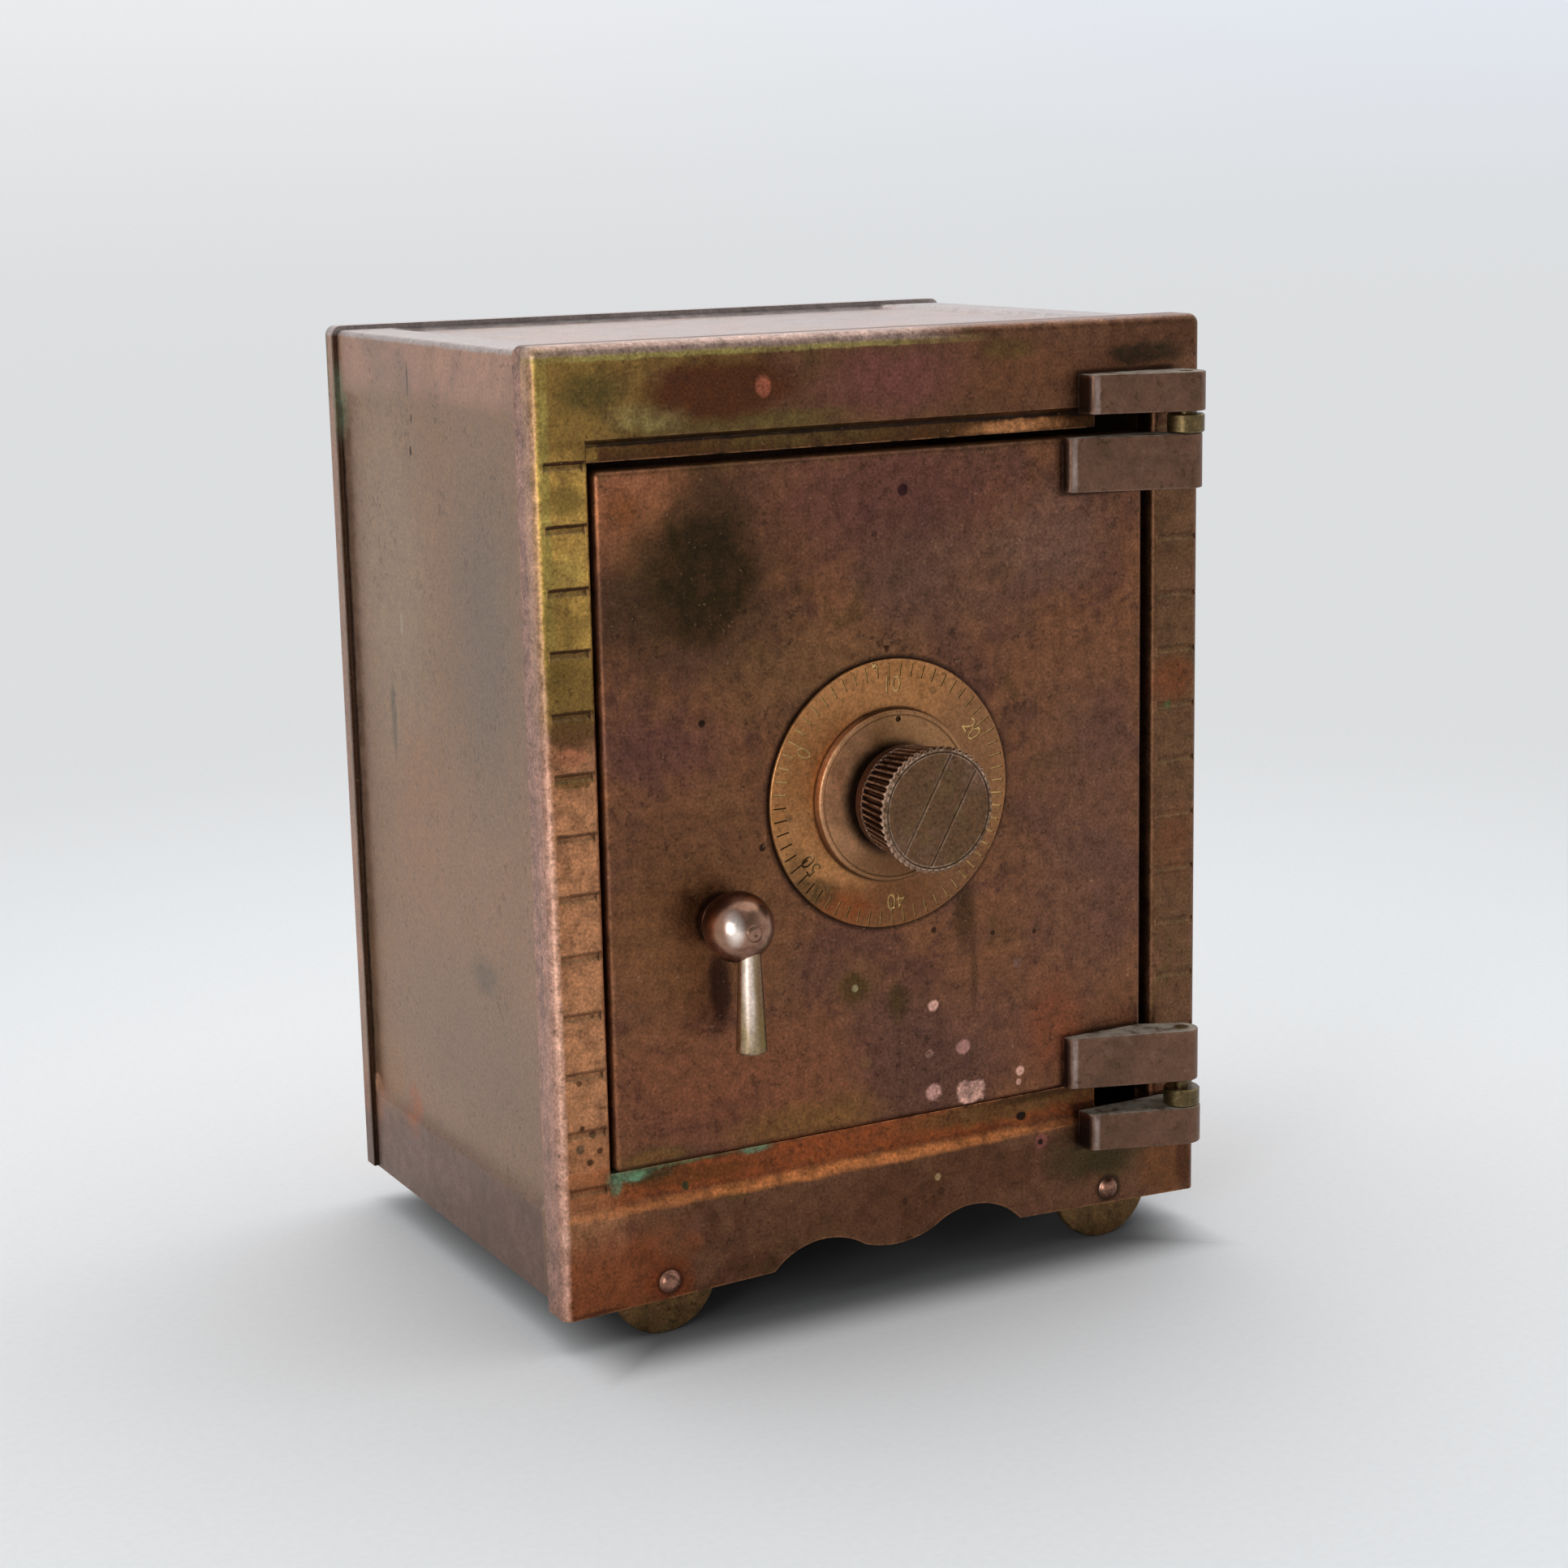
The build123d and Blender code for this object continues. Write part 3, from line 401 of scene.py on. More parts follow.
        side = add_node(tree, "ShaderNodeMapRange",
                        {"Value": split[0], "From Min": -1.0, "To Min": 1.0,
                         "To Max": rows.right_share}).outputs[0]
        side = self._math(tree, "MULTIPLY", side, add_node(
            tree, "ShaderNodeMapRange", {"Value": split[2], "From Min": 60.0, "From Max": 95.0,
                                         "To Min": 0.6}).outputs[0])
        # Height above the joint, half width, colour and strength of each line.
        # The first two lines are dirt with painted shade in the groove; the third is a painted
        # highlight on the lip.
        lines = ((-0.35, 0.45, rows.dark, 0.45), (0.1, 0.25, rows.dark, 0.95),
                 (-0.75, 0.2, rows.lip_highlight, 0.35))
        for centre, half, hue, strength in lines:
            near = self._math(tree, "ABSOLUTE",
                              self._math(tree, "SUBTRACT", above, centre), 0.0)
            line = self._ramp(tree, near, half + 0.12, half - 0.12, strength)
            line = self._math(tree, "MULTIPLY", line, band)
            if hue == rows.dark:
                line = self._math(tree, "MULTIPLY", line, side)
            colour = self._mix(tree, line, colour, linear(hue))
        return colour

    def _speckle(self, tree: bpy.types.NodeTree, drift: bpy.types.NodeSocket,
                 grain: bpy.types.NodeSocket,
                 colour: bpy.types.NodeSocket) -> bpy.types.NodeSocket:
        """Strew small dark specks, in drifts, and the odd bright glint.

        Args:
            tree: The material's node tree.
            drift: The place on the object, in millimetres.
            grain: The finest noise.
            colour: The colour so far.

        Returns:
            The speckled colour.
        """
        dots = self._noise(tree, drift, 0.9, 2, 0.5).outputs["Fac"]
        drifts = self._ramp(tree, self._noise(tree, drift, 9.0, 3, 0.6).outputs["Fac"],
                            0.44, 0.62, 1.0)
        specks = self._ramp(tree, dots, 0.57, 0.67, self.speck_share)
        colour = self._mix(tree, self._math(tree, "MULTIPLY", specks, drifts), colour,
                           linear(self.speck))
        both = self._math(tree, "ADD", self._math(tree, "MULTIPLY", grain, 0.6), dots)
        return self._mix(tree, self._ramp(tree, both, 1.02, 1.09, self.glint_share), colour,
                         linear(self.glint))

    def _wear_and_highlight(self, tree: bpy.types.NodeTree, fleck: bpy.types.NodeSocket,
              colour: bpy.types.NodeSocket) -> bpy.types.NodeSocket:
        """Rubbed edges and painted edge highlights: where the solid is thin behind the surface, a
        bright colour shows.

        Args:
            tree: The material's node tree.
            fleck: A fine noise that breaks the bright line up.
            colour: The colour so far.

        Returns:
            The colour with its rubbed and highlighted edges.
        """
        if not self.wear_and_highlight_share:
            return colour
        solid = add_node(tree, "ShaderNodeAmbientOcclusion", {"Distance": self.wear_and_highlight_mm * MM},
                         samples=6, only_local=True, inside=True).outputs["AO"]
        edge = self._ramp(tree, solid, 0.93, 0.55, self.wear_and_highlight_share)
        broken = self._ramp(tree, fleck, 0.36, 0.54, 1.0)
        return self._mix(tree, self._math(tree, "MULTIPLY", edge, broken), colour,
                         linear(self.wear_and_highlight))

    def _darken_nooks(self, tree: bpy.types.NodeTree, fleck: bpy.types.NodeSocket,
              colour: bpy.types.NodeSocket) -> bpy.types.NodeSocket:
        """Darken the colour in the corners, as far as ambient occlusion finds the surface
        enclosed.

        Args:
            tree: The material's node tree.
            fleck: A fine noise that makes the darkening uneven.
            colour: The colour so far.

        Returns:
            The colour with darker corners.
        """
        if not self.nook_share:
            return colour
        nook = add_node(tree, "ShaderNodeAmbientOcclusion", {"Distance": self.nook_mm * MM},
                        samples=6, only_local=True).outputs["AO"]
        deep = self._ramp(tree, nook, 0.94, 0.45, self.nook_share)
        patchy = add_node(tree, "ShaderNodeMapRange",
                          {"Value": fleck, "From Min": 0.3, "From Max": 0.6,
                           "To Min": 0.6}).outputs[0]
        return self._mix(tree, self._math(tree, "MULTIPLY", deep, patchy), colour,
                         linear(self.nook_colour))

    def _dust(self, tree: bpy.types.NodeTree, place: bpy.types.NodeSocket,
              fleck: bpy.types.NodeSocket) -> bpy.types.NodeSocket:
        """Share of grey dust, on the faces that look up.

        Args:
            tree: The material's node tree.
            place: The texture coordinate socket of the object.
            fleck: A fine noise that makes the dust uneven.

        Returns:
            The dust's share from 0 to 1.
        """
        normal = place.node.outputs["Normal"]
        up = add_node(tree, "ShaderNodeSeparateXYZ", {0: normal}).outputs[2]
        flat = self._ramp(tree, up, 0.6, 0.95, self.dust_share)
        patchy = self._ramp(tree, fleck, 0.26, 0.56, 1.0)
        return self._math(tree, "MULTIPLY", flat, patchy)

    def _shade(self, tree: bpy.types.NodeTree, fleck: bpy.types.NodeSocket,
               grain: bpy.types.NodeSocket,
               colour: bpy.types.NodeSocket) -> bpy.types.NodeSocket:
        """Vary how light the colour is, by the flecks and by the grain.

        Args:
            tree: The material's node tree.
            fleck: The noise of the flecks.
            grain: The noise of the grain.
            colour: The colour so far.

        Returns:
            The varied colour.
        """
        coarse = add_node(tree, "ShaderNodeMapRange",
                          {"Value": fleck, "From Min": 0.3, "From Max": 0.7,
                           "To Min": 1 - self.fleck_share, "To Max": 1 + self.fleck_share})
        fine = add_node(tree, "ShaderNodeMapRange",
                        {"Value": grain, "From Min": 0.3, "From Max": 0.7,
                         "To Min": 1 - self.grain_share, "To Max": 1 + self.grain_share})
        value = self._math(tree, "MULTIPLY", coarse.outputs[0], fine.outputs[0])
        return add_node(tree, "ShaderNodeHueSaturation",
                        {"Color": colour, "Value": value}).outputs[0]

    def _relief(self, tree: bpy.types.NodeTree, drift: bpy.types.NodeSocket,
                grain: bpy.types.NodeSocket) -> bpy.types.NodeSocket:
        """Fine pitting of the skin, and the slow swell of thin sheet.

        Args:
            tree: The material's node tree.
            drift: The place on the object, in millimetres.
            grain: The finest noise.

        Returns:
            The bent normal.
        """
        bump = add_node(tree, "ShaderNodeBump",
                        {"Height": grain, "Strength": 1.0,
                         "Distance": self.relief_mm * MM}).outputs[0]
        if self.dent_mm:
            swell = self._noise(tree, drift, self.dent_size_mm, 2, 0.4)
            bump = add_node(tree, "ShaderNodeBump",
                            {"Height": swell.outputs["Fac"], "Strength": 1.0, "Normal": bump,
                             "Distance": self.dent_mm * MM}).outputs[0]
        return bump


# ---------------------------------------------------------------- the finishes of this safe
SALMON = "#E6B09C"            # bare copper where drops have eaten the wash away
# Near black: pits, and painted shade in gaps and under ledges.
PIT_AND_GAP_SHADE = "#150C07"
SEAM_SHADE = "#1C0E07"              # painted shade in the seam round a piece that stands on the sheet
VERDIGRIS = "#6F9A74"


def spot(x: float, z: float, size: float, colour: str, strength: float = 0.9,
         ragged: float = 0.35) -> Mark:
    """A small round mark on the front, where the wash is rubbed off or eaten away.

    Args:
        x: Place across the front, in millimetres.
        z: Height above the ground, in millimetres.
        size: Radius in millimetres.
        colour: Colour of the spot.
        strength: Share of the colour that it covers.
        ragged: How far its edge wanders, as a share of its radius.

    Returns:
        The mark.
    """
    return Mark(colour, (x, 0.0, z), (size, BROAD, size), strength, 0.25, 0.0, size * ragged)


def area(x: float, z: float, wide: float, high: float, colour: str, strength: float = 0.8,
         soft: float = 0.4, mottle: float = 0.2, ragged: float = 2.0) -> Mark:
    """A squarish patch on the front, of half width wide and half height high.

    Args:
        x: Centre across the front, in millimetres.
        z: Centre above the ground, in millimetres.
        wide: Half the patch's width.
        high: Half the patch's height.
        colour: Colour of the patch.
        strength: Share of the colour that it covers.
        soft: Softness of its edge.
        mottle: How far the fine noise breaks it up.
        ragged: How far its edge wanders, in millimetres.

    Returns:
        The mark.
    """
    return Mark(colour, (x, 0.0, z), (wide, BROAD, high), strength, soft, mottle, ragged,
                Form.SQUARE)


def cloud(x: float, z: float, wide: float, high: float, colour: str, strength: float = 0.6,
          soft: float = 0.7, mottle: float = 0.15, ragged: float = 4.0) -> Mark:
    """A soft round patch on the front, of half width wide and half height high.

    Args:
        x: Centre across the front, in millimetres.
        z: Centre above the ground, in millimetres.
        wide: Half the patch's width.
        high: Half the patch's height.
        colour: Colour of the patch.
        strength: Share of the colour that it covers.
        soft: Softness of its edge.
        mottle: How far the fine noise breaks it up.
        ragged: How far its edge wanders, in millimetres.

    Returns:
        The mark.
    """
    return Mark(colour, (x, 0.0, z), (wide, BROAD, high), strength, soft, mottle, ragged)


# Copper-washed brass sheet, pressed and handled for decades: satin, brown with olive
# brass where the wash is worn through and pink copper where it is thick.
FRAME_PATINA = Patina(
    "Aged copper wash on pressed brass, front frame", marks_end=-28.0,
    ground="#714C35", seed=1.0, dent_mm=0.05, wear_and_highlight="#B57F58", wear_and_highlight_share=0.6,
    # Jamb joints: dirt with painted shade in the grooves, and a painted highlight on the lips.
    courses=Courses(22.9, 7.95, 13, 43.9, 49.7, "#34190A", "#8F7450"),
    blooms=(
        Bloom("#54331F", 13.0, 0.50, 0.62, 0.65, 0.3),
        Bloom("#7A4E3C", 9.0, 0.54, 0.66, 0.55, 1.1),
        Bloom("#5C4A26", 11.0, 0.56, 0.66, 0.5, 2.7),
    ),
    marks=(
        area(47.0, 75.0, 4.5, 43.0, "#6E5035", 0.55, 0.5),
        cloud(46.5, 81.9, 3.5, 3.2, "#7E4427", 0.7, 0.5, ragged=1.0),
        cloud(46.8, 58.0, 3.0, 5.0, "#77462C", 0.5, 0.6, ragged=1.5),
        area(-47.5, 50.0, 5.0, 33.0, "#CA8C61", 0.8, 0.35, 0.25),
        area(-46.5, 25.0, 6.5, 6.0, "#A76D47", 0.7, 0.6),
        area(-45.0, 9.0, 9.0, 6.0, "#934E2A", 0.75, 0.6),
        cloud(8.0, 126.8, 30.0, 5.0, "#68432F", 0.7, 0.6),
        cloud(3.0, 126.5, 10.0, 3.6, "#814A48", 0.6, 0.7, ragged=2.5),
        cloud(20.0, 126.0, 12.0, 4.0, "#784D32", 0.6, 0.6),
        area(-47.5, 110.0, 5.5, 25.5, "#C59B4E", 0.95, 0.08, 0.35, 2.5),
        area(-42.5, 127.0, 9.0, 7.5, "#876835", 0.9, 0.25, 0.25, 2.5),
        area(-29.0, 130.6, 9.0, 1.3, "#816233", 0.85, 0.4, 0.35, 1.2),
        area(-23.0, 121.9, 15.0, 1.3, "#66542C", 0.85, 0.4, 0.35, 1.2),
        cloud(-43.0, 127.0, 4.0, 2.6, "#4D4321", 0.85, 0.6, 0.5, 2.0),
        cloud(-35.0, 123.6, 5.0, 1.6, "#9B8854", 0.7, 0.6, 0.5, 1.5),
        area(-49.6, 113.0, 0.7, 18.0, "#A8964E", 0.75, 0.4, 0.4, 0.5),
        cloud(-46.6, 113.6, 2.4, 1.8, "#54491F", 0.7, 0.6, 0.5, 1.5),
        cloud(-47.0, 104.5, 2.6, 2.2, "#A48E4A", 0.6, 0.6, 0.5, 1.5),
        cloud(-46.0, 97.5, 2.0, 2.0, "#6A5626", 0.6, 0.6, 0.5, 1.5),
        cloud(-24.5, 126.4, 11.0, 3.9, "#532C14", 0.9, 0.3, 0.2, 2.0),
        cloud(-46.5, 89.5, 5.5, 4.5, "#5C4420", 0.75, 0.5, 0.3, 1.5),
        cloud(-49.0, 96.0, 2.0, 9.0, "#5E4A22", 0.5, 0.7, 0.4, 1.5),
        cloud(-46.8, 84.2, 5.0, 2.0, "#4A2E18", 0.75, 0.5, 0.3, 1.5),
        cloud(-47.2, 80.9, 2.2, 1.2, "#B06E4E", 0.85, 0.4, 0.5, 1.0),
        cloud(-46.9, 77.8, 3.0, 0.9, "#6B4F22", 0.8, 0.4, 0.3, 0.8),
        cloud(41.5, 127.9, 6.0, 1.5, "#262011", 0.9, 0.4, 0.4, 1.5),
        cloud(18.8, 129.6, 4.0, 1.3, "#5B4A22", 0.6, 0.5, 0.5, 1.2),
        area(-2.0, 119.4, 42.0, 1.5, "#492A0B", 0.85, 0.3, 0.2, 1.0),
        cloud(-12.0, 119.5, 14.0, 1.2, "#5E4A26", 0.7, 0.6, 0.6, 1.4),
        cloud(21.0, 118.9, 7.0, 1.0, "#D28F5B", 0.8, 0.5, 0.4, 1.0),
        area(-4.0, 22.4, 42.0, 2.7, "#9D4D21", 0.75, 0.3, 0.2, 1.2),
        cloud(20.0, 22.4, 17.0, 1.6, "#5C4A28", 0.75, 0.5, 0.3, 1.5),
        cloud(-31.0, 21.6, 9.0, 1.0, "#5E3A18", 0.7, 0.5, 0.4, 1.2),
        # Painted highlight along the rounded front edge of the lower ledge.
        cloud(-8.0, 18.9, 35.0, 0.7, "#E58D4E", 0.75, 0.6, 0.3, 0.4),
        cloud(-2.0, 12.5, 22.0, 4.5, "#67412B", 0.6, 0.6),
        cloud(33.5, 13.4, 8.5, 4.0, "#42351D", 0.85, 0.4, 0.35, 2.5),
        cloud(46.5, 10.0, 5.0, 4.5, "#744725", 0.75, 0.5, 0.3, 1.5),
        cloud(-35.5, 7.8, 3.6, 3.4, "#7A3A1C", 0.8, 0.4, 0.3, 1.2),
        cloud(-35.5, 7.8, 2.0, 2.0, "#32190D", 0.8, 0.2, 0.2, 0.4),
        cloud(35.5, 7.8, 2.1, 2.1, "#26170D", 0.85, 0.2, 0.2, 0.4),
        cloud(-32.0, 12.5, 1.6, 1.6, "#86482C", 0.6, 0.5, 0.2, 1.0),
        cloud(34.6, 12.5, 4.0, 2.0, "#3A3019", 0.8, 0.5, 0.3, 1.5),
        cloud(48.9, 9.5, 1.5, 4.0, "#4A2A18", 0.8, 0.4, 0.2, 0.8),
        cloud(-46.0, 5.2, 5.0, 0.6, "#55301C", 0.8, 0.5, 0.2, 0.4),
        # Painted shade in the seams round the frame's hinge blocks.
        *(Mark(SEAM_SHADE, (38.0, 0.0, z), (8.2, BROAD, 3.25), 0.8, 0.08, 0.2, 0.3, Form.SQUARE)
          for z in (17.8, 122.9)),
        # Painted highlight on the front-left rounded edge.
        Mark("#DDB09C", (-50.7, -30.7, 42.0), (0.9, 0.9, 42.0), 0.7, 0.4, 0.3, 0.3),
        Mark("#AE8778", (-51.0, -27.0, 66.0), (0.5, 3.6, 70.0), 0.85, 0.3, 0.2, 0.3,
             Form.SQUARE),
        # Painted reflection: the top edge and flange paler, as they catch the pale room.
        Mark("#8A6A58", (0.0, 0.0, 133.3), (BROAD, BROAD, 0.6), 0.8, 0.3, 0.15, 0.2,
             Form.SQUARE),
        # Painted highlight along the top edge.
        Mark("#A99C5A", (-22.0, 0.0, 131.3), (29.0, BROAD, 0.4), 0.7, 0.5, 0.4, 0.3,
             Form.SQUARE),
        # Painted reflection on the top edge, over the left.
        Mark("#B89C90", (-22.0, 0.0, 133.3), (29.0, BROAD, 1.6), 0.9, 0.25, 0.15, 0.3,
             Form.SQUARE),
        # Painted shade: a black line under the front plate's lip, a black band above the door's
        # top edge, and black in the hinge notches.
        Mark(PIT_AND_GAP_SHADE, (-5.0, -28.6, 120.85), (40.0, 1.4, 0.85), 0.95, 0.2, 0.0, 0.15, Form.SQUARE),
        Mark(PIT_AND_GAP_SHADE, (-5.0, -28.6, 117.2), (40.0, 1.3, 1.0), 0.9, 0.25, 0.0, 0.3, Form.SQUARE),
        Mark(PIT_AND_GAP_SHADE, (41.5, -27.0, 118.7), (6.5, 3.2, 2.0), 0.9, 0.2, 0.1, 0.3, Form.SQUARE),
        Mark(PIT_AND_GAP_SHADE, (41.5, -27.0, 22.4), (6.5, 3.2, 1.7), 0.9, 0.2, 0.1, 0.3, Form.SQUARE),
        Mark("#26311A", (-38.0, 0.0, 23.4), (6.0, BROAD, 1.5), 0.8, 0.4, 0.5, 1.2),
        Mark("#26311A", (-26.0, 0.0, 24.0), (8.0, BROAD, 0.6), 0.6, 0.5, 0.5, 0.8),
        Mark("#38240F", (25.0, 0.0, 23.6), (10.0, BROAD, 1.0), 0.8, 0.5, 0.2, 0.8),
        Mark(VERDIGRIS, (-42.3, 0.0, 22.0), (0.8, BROAD, 1.4), 0.8, 0.4, 0.5, 0.8, dull=True),
        Mark(VERDIGRIS, (-40.5, 0.0, 23.6), (3.2, BROAD, 1.1), 0.85, 0.4, 0.55, 1.2, dull=True),
        Mark("#5F7A4C", (-32.5, 0.0, 24.0), (7.0, BROAD, 0.55), 0.75, 0.4, 0.6, 1.0, dull=True),
        Mark(VERDIGRIS, (-21.6, 0.0, 23.8), (2.3, BROAD, 0.75), 0.85, 0.4, 0.4, 0.9, dull=True),
        spot(-32.2, 20.4, 0.55, "#2F3B22"),
        spot(45.8, 78.1, 0.6, "#4E6A3C", 0.8),
        Mark("#A85F46", (-18.4, 0.0, 126.5), (1.1, BROAD, 1.35), 0.9, 0.3, 0.0, 0.4),
        Mark(PIT_AND_GAP_SHADE, (21.5, 0.0, 20.8), (0.85, BROAD, 0.6), 0.95, 0.2, 0.0, 0.3),
        Mark(PIT_AND_GAP_SHADE, (12.1, 0.0, 24.0), (0.6, BROAD, 0.45), 0.95, 0.2, 0.0, 0.2),
        spot(24.0, 17.0, 1.0, "#96584E", 0.75),
        spot(23.8, 16.9, 0.45, PIT_AND_GAP_SHADE),
        spot(6.6, 14.8, 0.5, "#B09468"),
        spot(1.2, 12.2, 0.5, "#38231A", 0.7),
        spot(7.2, 12.6, 0.6, "#38231A", 0.6),
        spot(-47.6, 31.4, 0.35, "#4A2C1A"),
        spot(-46.0, 30.3, 0.5, "#4A2C1A"),
        spot(-48.0, 28.6, 0.65, "#6A503C"),
        spot(-45.2, 28.0, 0.4, "#4A2C1A"),
        spot(-46.6, 26.6, 0.45, "#4A2C1A"),
        spot(-47.8, 37.6, 0.4, "#5A3822", 0.8),
        spot(-45.4, 46.2, 0.3, "#5A3822", 0.8),
    ),
)

# The same sheet on the sides, top and back: greyer, with mauve borders, rusty clouds and
# upright streaks where damp has run down.
BODY_PATINA = Patina(
    "Aged copper wash on pressed brass, body sheet",
    ground="#B28973", seed=2.0, dent_mm=0.10, dent_size_mm=34.0, wear_and_highlight_share=0.35,
    speck_share=0.3, fleck_share=0.14, grain_share=0.2, relief_mm=0.015, roughness=(0.34, 0.46),
    blooms=(
        Bloom("#7F6A62", 22.0, 0.42, 0.66, 0.5, 0.4),
        Bloom("#8A7058", 15.0, 0.48, 0.70, 0.45, 1.9, stretch=(1.0, 1.0, 0.5)),
    ),
    marks=(
        Mark("#937358", (0.0, 7.1, 71.2), (BROAD, 33.0, 53.6), 0.85, 0.035, 0.1, 0.6,
             Form.SQUARE),
        Mark("#A38B74", (0.0, 24.0, 98.0), (BROAD, 13.0, 24.0), 0.6, 0.7, 0.1, 6.0),
        Mark("#A0785C", (0.0, 17.0, 66.0), (BROAD, 8.0, 11.0), 0.75, 0.7, 0.2, 5.0),
        Mark("#7A6E64", (0.0, -10.0, 95.0), (BROAD, 11.0, 22.0), 0.6, 0.7, 0.1, 6.0),
        Mark("#9A7B6A", (0.0, 38.5, 92.0), (BROAD, 5.0, 36.0), 0.7, 0.6, 0.2, 2.0),
        Mark("#7E6A5E", (0.0, 0.0, 34.0), (BROAD, 26.0, 12.0), 0.5, 0.7, 0.2, 5.0),
        Mark("#665C50", (0.0, -5.0, 46.5), (BROAD, 4.0, 2.2), 0.6, 0.6, 0.3, 2.0),
        Mark("#5C584A", (0.0, 25.0, 78.0), (BROAD, 0.9, 5.0), 0.7, 0.6, 0.3, 1.0),
        Mark("#B4A48C", (0.0, 20.3, 92.0), (BROAD, 0.5, 1.4), 0.6, 0.5, 0.0, 0.4),
        # The lower border, darker towards the bottom: its own colour with painted shade near the
        # floor.
        Mark("#614A3F", (0.0, 0.0, 10.0), (BROAD, BROAD, 9.5), 0.85, 0.3, 0.2, 1.5,
             Form.SQUARE),
        Mark("#A0613F", (0.0, 23.5, 19.5), (BROAD, 2.6, 3.6), 0.75, 0.5, 0.5, 2.0),
        Mark("#9C6C50", (0.0, 38.5, 18.5), (BROAD, 5.0, 4.0), 0.7, 0.5, 0.4, 2.5),
        Mark("#96704C", (0.0, 31.0, 22.0), (BROAD, 4.0, 5.0), 0.5, 0.6, 0.3, 2.5),
        Mark("#B08A5C", (0.0, -23.6, 46.0), (BROAD, 0.8, 32.0), 0.6, 0.5, 0.5, 0.8),
        Mark("#4C4A3E", (0.0, 12.4, 126.6), (BROAD, 0.3, 2.2), 0.8, 0.3, 0.2, 0.3),
        Mark(PIT_AND_GAP_SHADE, (0.0, 13.1, 121.4), (BROAD, 0.3, 0.6), 0.85, 0.3, 0.0, 0.2),
        Mark(PIT_AND_GAP_SHADE, (0.0, 13.8, 116.9), (BROAD, 0.35, 0.7), 0.9, 0.3, 0.0, 0.2),
        # Painted shade along the back step of the side recess.
        Mark("#241C14", (0.0, 39.45, 62.0), (BROAD, 0.5, BROAD), 0.9, 0.4, 0.2, 0.3),
        Mark("#5E6E56", (-51.0, 39.0, 122.5), (3.0, 1.4, 5.0), 0.7, 0.5, 0.4, 1.0, dull=True),
        # Painted shade along the front step of the side recess.
        Mark("#2A1F18", (0.0, -25.4, 62.0), (BROAD, 0.35, BROAD), 0.7, 0.4, 0.2, 0.2),
        # Painted reflection: the top paler, as it catches the pale room at a grazing angle.
        Mark("#ABA3A1", (0.0, 0.0, 133.3), (BROAD, BROAD, 1.6), 0.85, 0.2, 0.15, 0.4,
             Form.SQUARE),
        # Painted shade in the gap at the top back edge.
        Mark("#141812", (0.0, 43.0, 133.0), (BROAD, 0.9, 0.9), 0.95, 0.4, 0.1, 0.3),
        Mark("#4A6A50", (-51.0, 42.4, 128.0), (1.2, 0.8, 6.0), 0.6, 0.5, 0.5, 0.6, dull=True),
    ),
)

